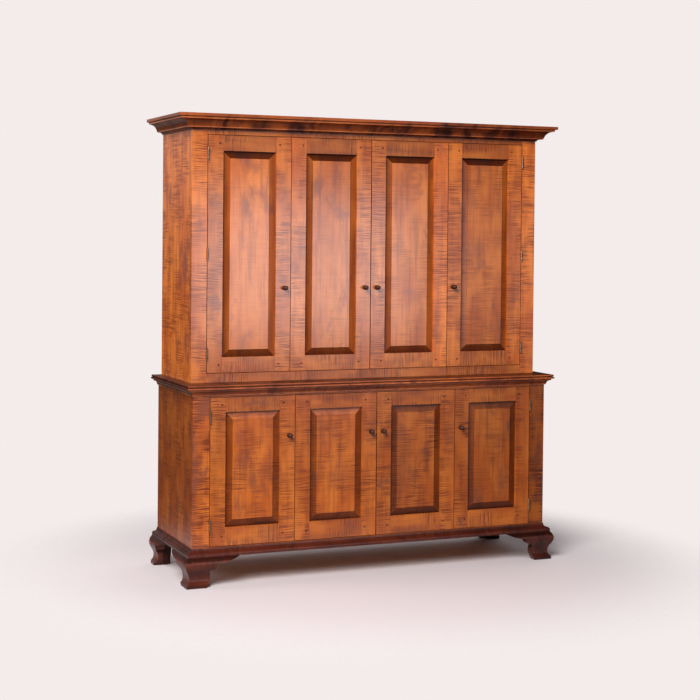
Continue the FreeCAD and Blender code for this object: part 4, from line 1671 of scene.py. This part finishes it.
# Painted light by height on the waist cove: highlight on its lower fillet, shade on its top under the bead.
WAIST_SHADING = ((0, 1.3, 1), (4, 1.3, 1), (6, 1.1, 1), (20, 1.1, 1), (20.5, 0.9, 1), (28, 0.9, 1))
BASE = ((0, 0), (26, 0), (26, 8), (24.2, 14.6, 19, 18), (8, 21), (4.4, 27, 3, 35), (0, 35))


@dataclass(frozen=True)
class DoorTimber:
    """Tones of one door's boards, and the strength of the stripes on its panel."""

    left_stile: float
    right_stile: float
    foot_rail: float
    top_rail: float
    panel: float
    panel_curl: float


# The top rails are toned darker than the rest as painted shade under the cornice and the waist moulding.
TIMBER = {
    (Row.UPPER, Side.LEFT, Leaf.OUTER): DoorTimber(0.36, 0.50, 0.42, 0.20, 0.52, 0.18),
    (Row.UPPER, Side.LEFT, Leaf.INNER): DoorTimber(0.52, 0.50, 0.42, 0.20, 0.44, 0.30),
    (Row.UPPER, Side.RIGHT, Leaf.INNER): DoorTimber(0.55, 0.86, 0.45, 0.24, 0.50, 0.40),
    (Row.UPPER, Side.RIGHT, Leaf.OUTER): DoorTimber(0.62, 0.68, 0.42, 0.30, 0.48, 0.55),
    (Row.LOWER, Side.LEFT, Leaf.OUTER): DoorTimber(0.36, 0.42, 0.36, 0.28, 0.48, 0.80),
    (Row.LOWER, Side.LEFT, Leaf.INNER): DoorTimber(0.39, 0.39, 0.34, 0.32, 0.44, 0.70),
    (Row.LOWER, Side.RIGHT, Leaf.INNER): DoorTimber(0.29, 0.35, 0.32, 0.30, 0.26, 0.90),
    (Row.LOWER, Side.RIGHT, Leaf.OUTER): DoorTimber(0.26, 0.32, 0.30, 0.24, 0.20, 0.62),
}
STILE = BoardLook(curl=0.9, cloud=0.6)
RAIL = BoardLook(curl=0.8, cloud=0.5)
PANEL = BoardLook(cloud=1.1)
UPPER_PANEL = RaisedPanel()
LOWER_PANELS = {
    Side.LEFT: RaisedPanel(left_shade=0.48, right_shade=0.44, top_shade=1.0, foot_shade=0.32),
    Side.RIGHT: RaisedPanel(left_shade=0.48, right_shade=0.44, top_shade=0.48, foot_shade=0.32),
}


def doors(palette: Palette) -> list[DoorLeaf]:
    """The eight doors, each with the looks of its own timber.

    Args:
        palette: the finishes.

    Returns:
        The doors, from left to right in each row.
    """
    made = []
    for (row, side, leaf), timber in TIMBER.items():
        stiles = (replace(STILE, tone=timber.left_stile), replace(STILE, tone=timber.right_stile))
        rails = (replace(RAIL, tone=timber.foot_rail), replace(RAIL, tone=timber.top_rail))
        panel_look = replace(PANEL, tone=timber.panel, curl=timber.panel_curl)
        panel = UPPER_PANEL if row is Row.UPPER else LOWER_PANELS[side]
        made.append(DoorLeaf(row, side, leaf, palette, stiles, rails, panel_look, panel))
    return made


def cases(palette: Palette) -> list[Case]:
    """The lower and the upper case, with the looks of their boards.

    Args:
        palette: the finishes.

    Returns:
        The two cases.
    """
    return [
        Case(Row.LOWER, palette, "base",
             side_look=BoardLook(tone=0.24, curl=0.8, cloud=1.4, shade=0.85),
             stile_looks=(BoardLook(tone=0.54, curl=1.8, cloud=1.2),
                          BoardLook(tone=0.05, curl=1.6, cloud=1.2)),
             rail_looks=(BoardLook(tone=0.35, curl=0.9, cloud=0.6),
                         BoardLook(tone=0.48, curl=0.9, cloud=0.6))),
        Case(Row.UPPER, palette, "upper",
             side_look=BoardLook(tone=0.75, curl=0.9, cloud=1.4),
             stile_looks=(BoardLook(tone=0.56, curl=0.9, cloud=0.7),
                          BoardLook(tone=0.90, curl=1.0, cloud=0.6)),
             rail_looks=(BoardLook(tone=0.36, curl=1.0, cloud=0.6),
                         BoardLook(tone=0.40, curl=0.9, cloud=0.6))),
    ]


def mouldings(palette: Palette) -> list[MouldingRun]:
    """Cornice, waist cove and base moulding.

    Args:
        palette: the finishes.

    Returns:
        The three mouldings.
    """
    return [
        MouldingRun("cornice_moulding", CORNICE, palette.moulding,
                    front_look=BoardLook(tone=0.92, curl=1.0, cloud=0.5),
                    return_look=BoardLook(tone=0.05, curl=0.5, cloud=0.5, shade=2.0),
                    stain=CORNICE_SHADING, return_rubbed=1.8, front_fade=(1.1, 0.85)),
        MouldingRun("waist_moulding", WAIST_COVE, palette.moulding,
                    front_look=BoardLook(tone=0.7, curl=0.7, cloud=0.6),
                    return_look=BoardLook(tone=-0.18, curl=0.5, cloud=0.5, shade=2.0),
                    stain=WAIST_SHADING),
        MouldingRun("base_moulding", BASE, palette.dark,
                    front_look=BoardLook(tone=0.55, curl=0.8, cloud=0.6),
                    return_look=BoardLook(tone=0.0, curl=0.8, cloud=0.6),
                    front_fade=(1.0, 0.55)),
    ]


# The right feet are toned darker as painted shade.
FOOT_TONES = {Side.LEFT: 0.47, Side.RIGHT: 0.15}


def main() -> None:
    """Builds and dresses the cabinet, then the studio."""
    logging.basicConfig(level=logging.INFO, format="%(message)s")
    palette = Palette()
    for case in cases(palette):
        case.build()
    leaves, pins = Piece("case_hinge_leaves_brass"), Piece("case_hinge_pins_brass")
    for door in doors(palette):
        door.build()
        if door.leaf is Leaf.OUTER:
            door.case_hinges(leaves, pins)
    leaves.finish([palette.brass], "case", "hinge_brass", ["case_hinge_leaves"])
    pins.finish([palette.brass], "case", "hinge_brass", ["case_hinge_pins"])
    for moulding in mouldings(palette):
        moulding.build()
    WaistBoard(palette.moulding, BoardLook(tone=0.7, curl=0.6, cloud=0.6)).build()
    for side in Side:
        foot = BracketFoot(palette.dark, BoardLook(tone=FOOT_TONES[side], curl=0.8, cloud=0.6))
        foot.build("front", side)
        foot.build("rear", side)
    Inside(palette).dress()
    Studio().build()


if __name__ == "__main__":
    main()
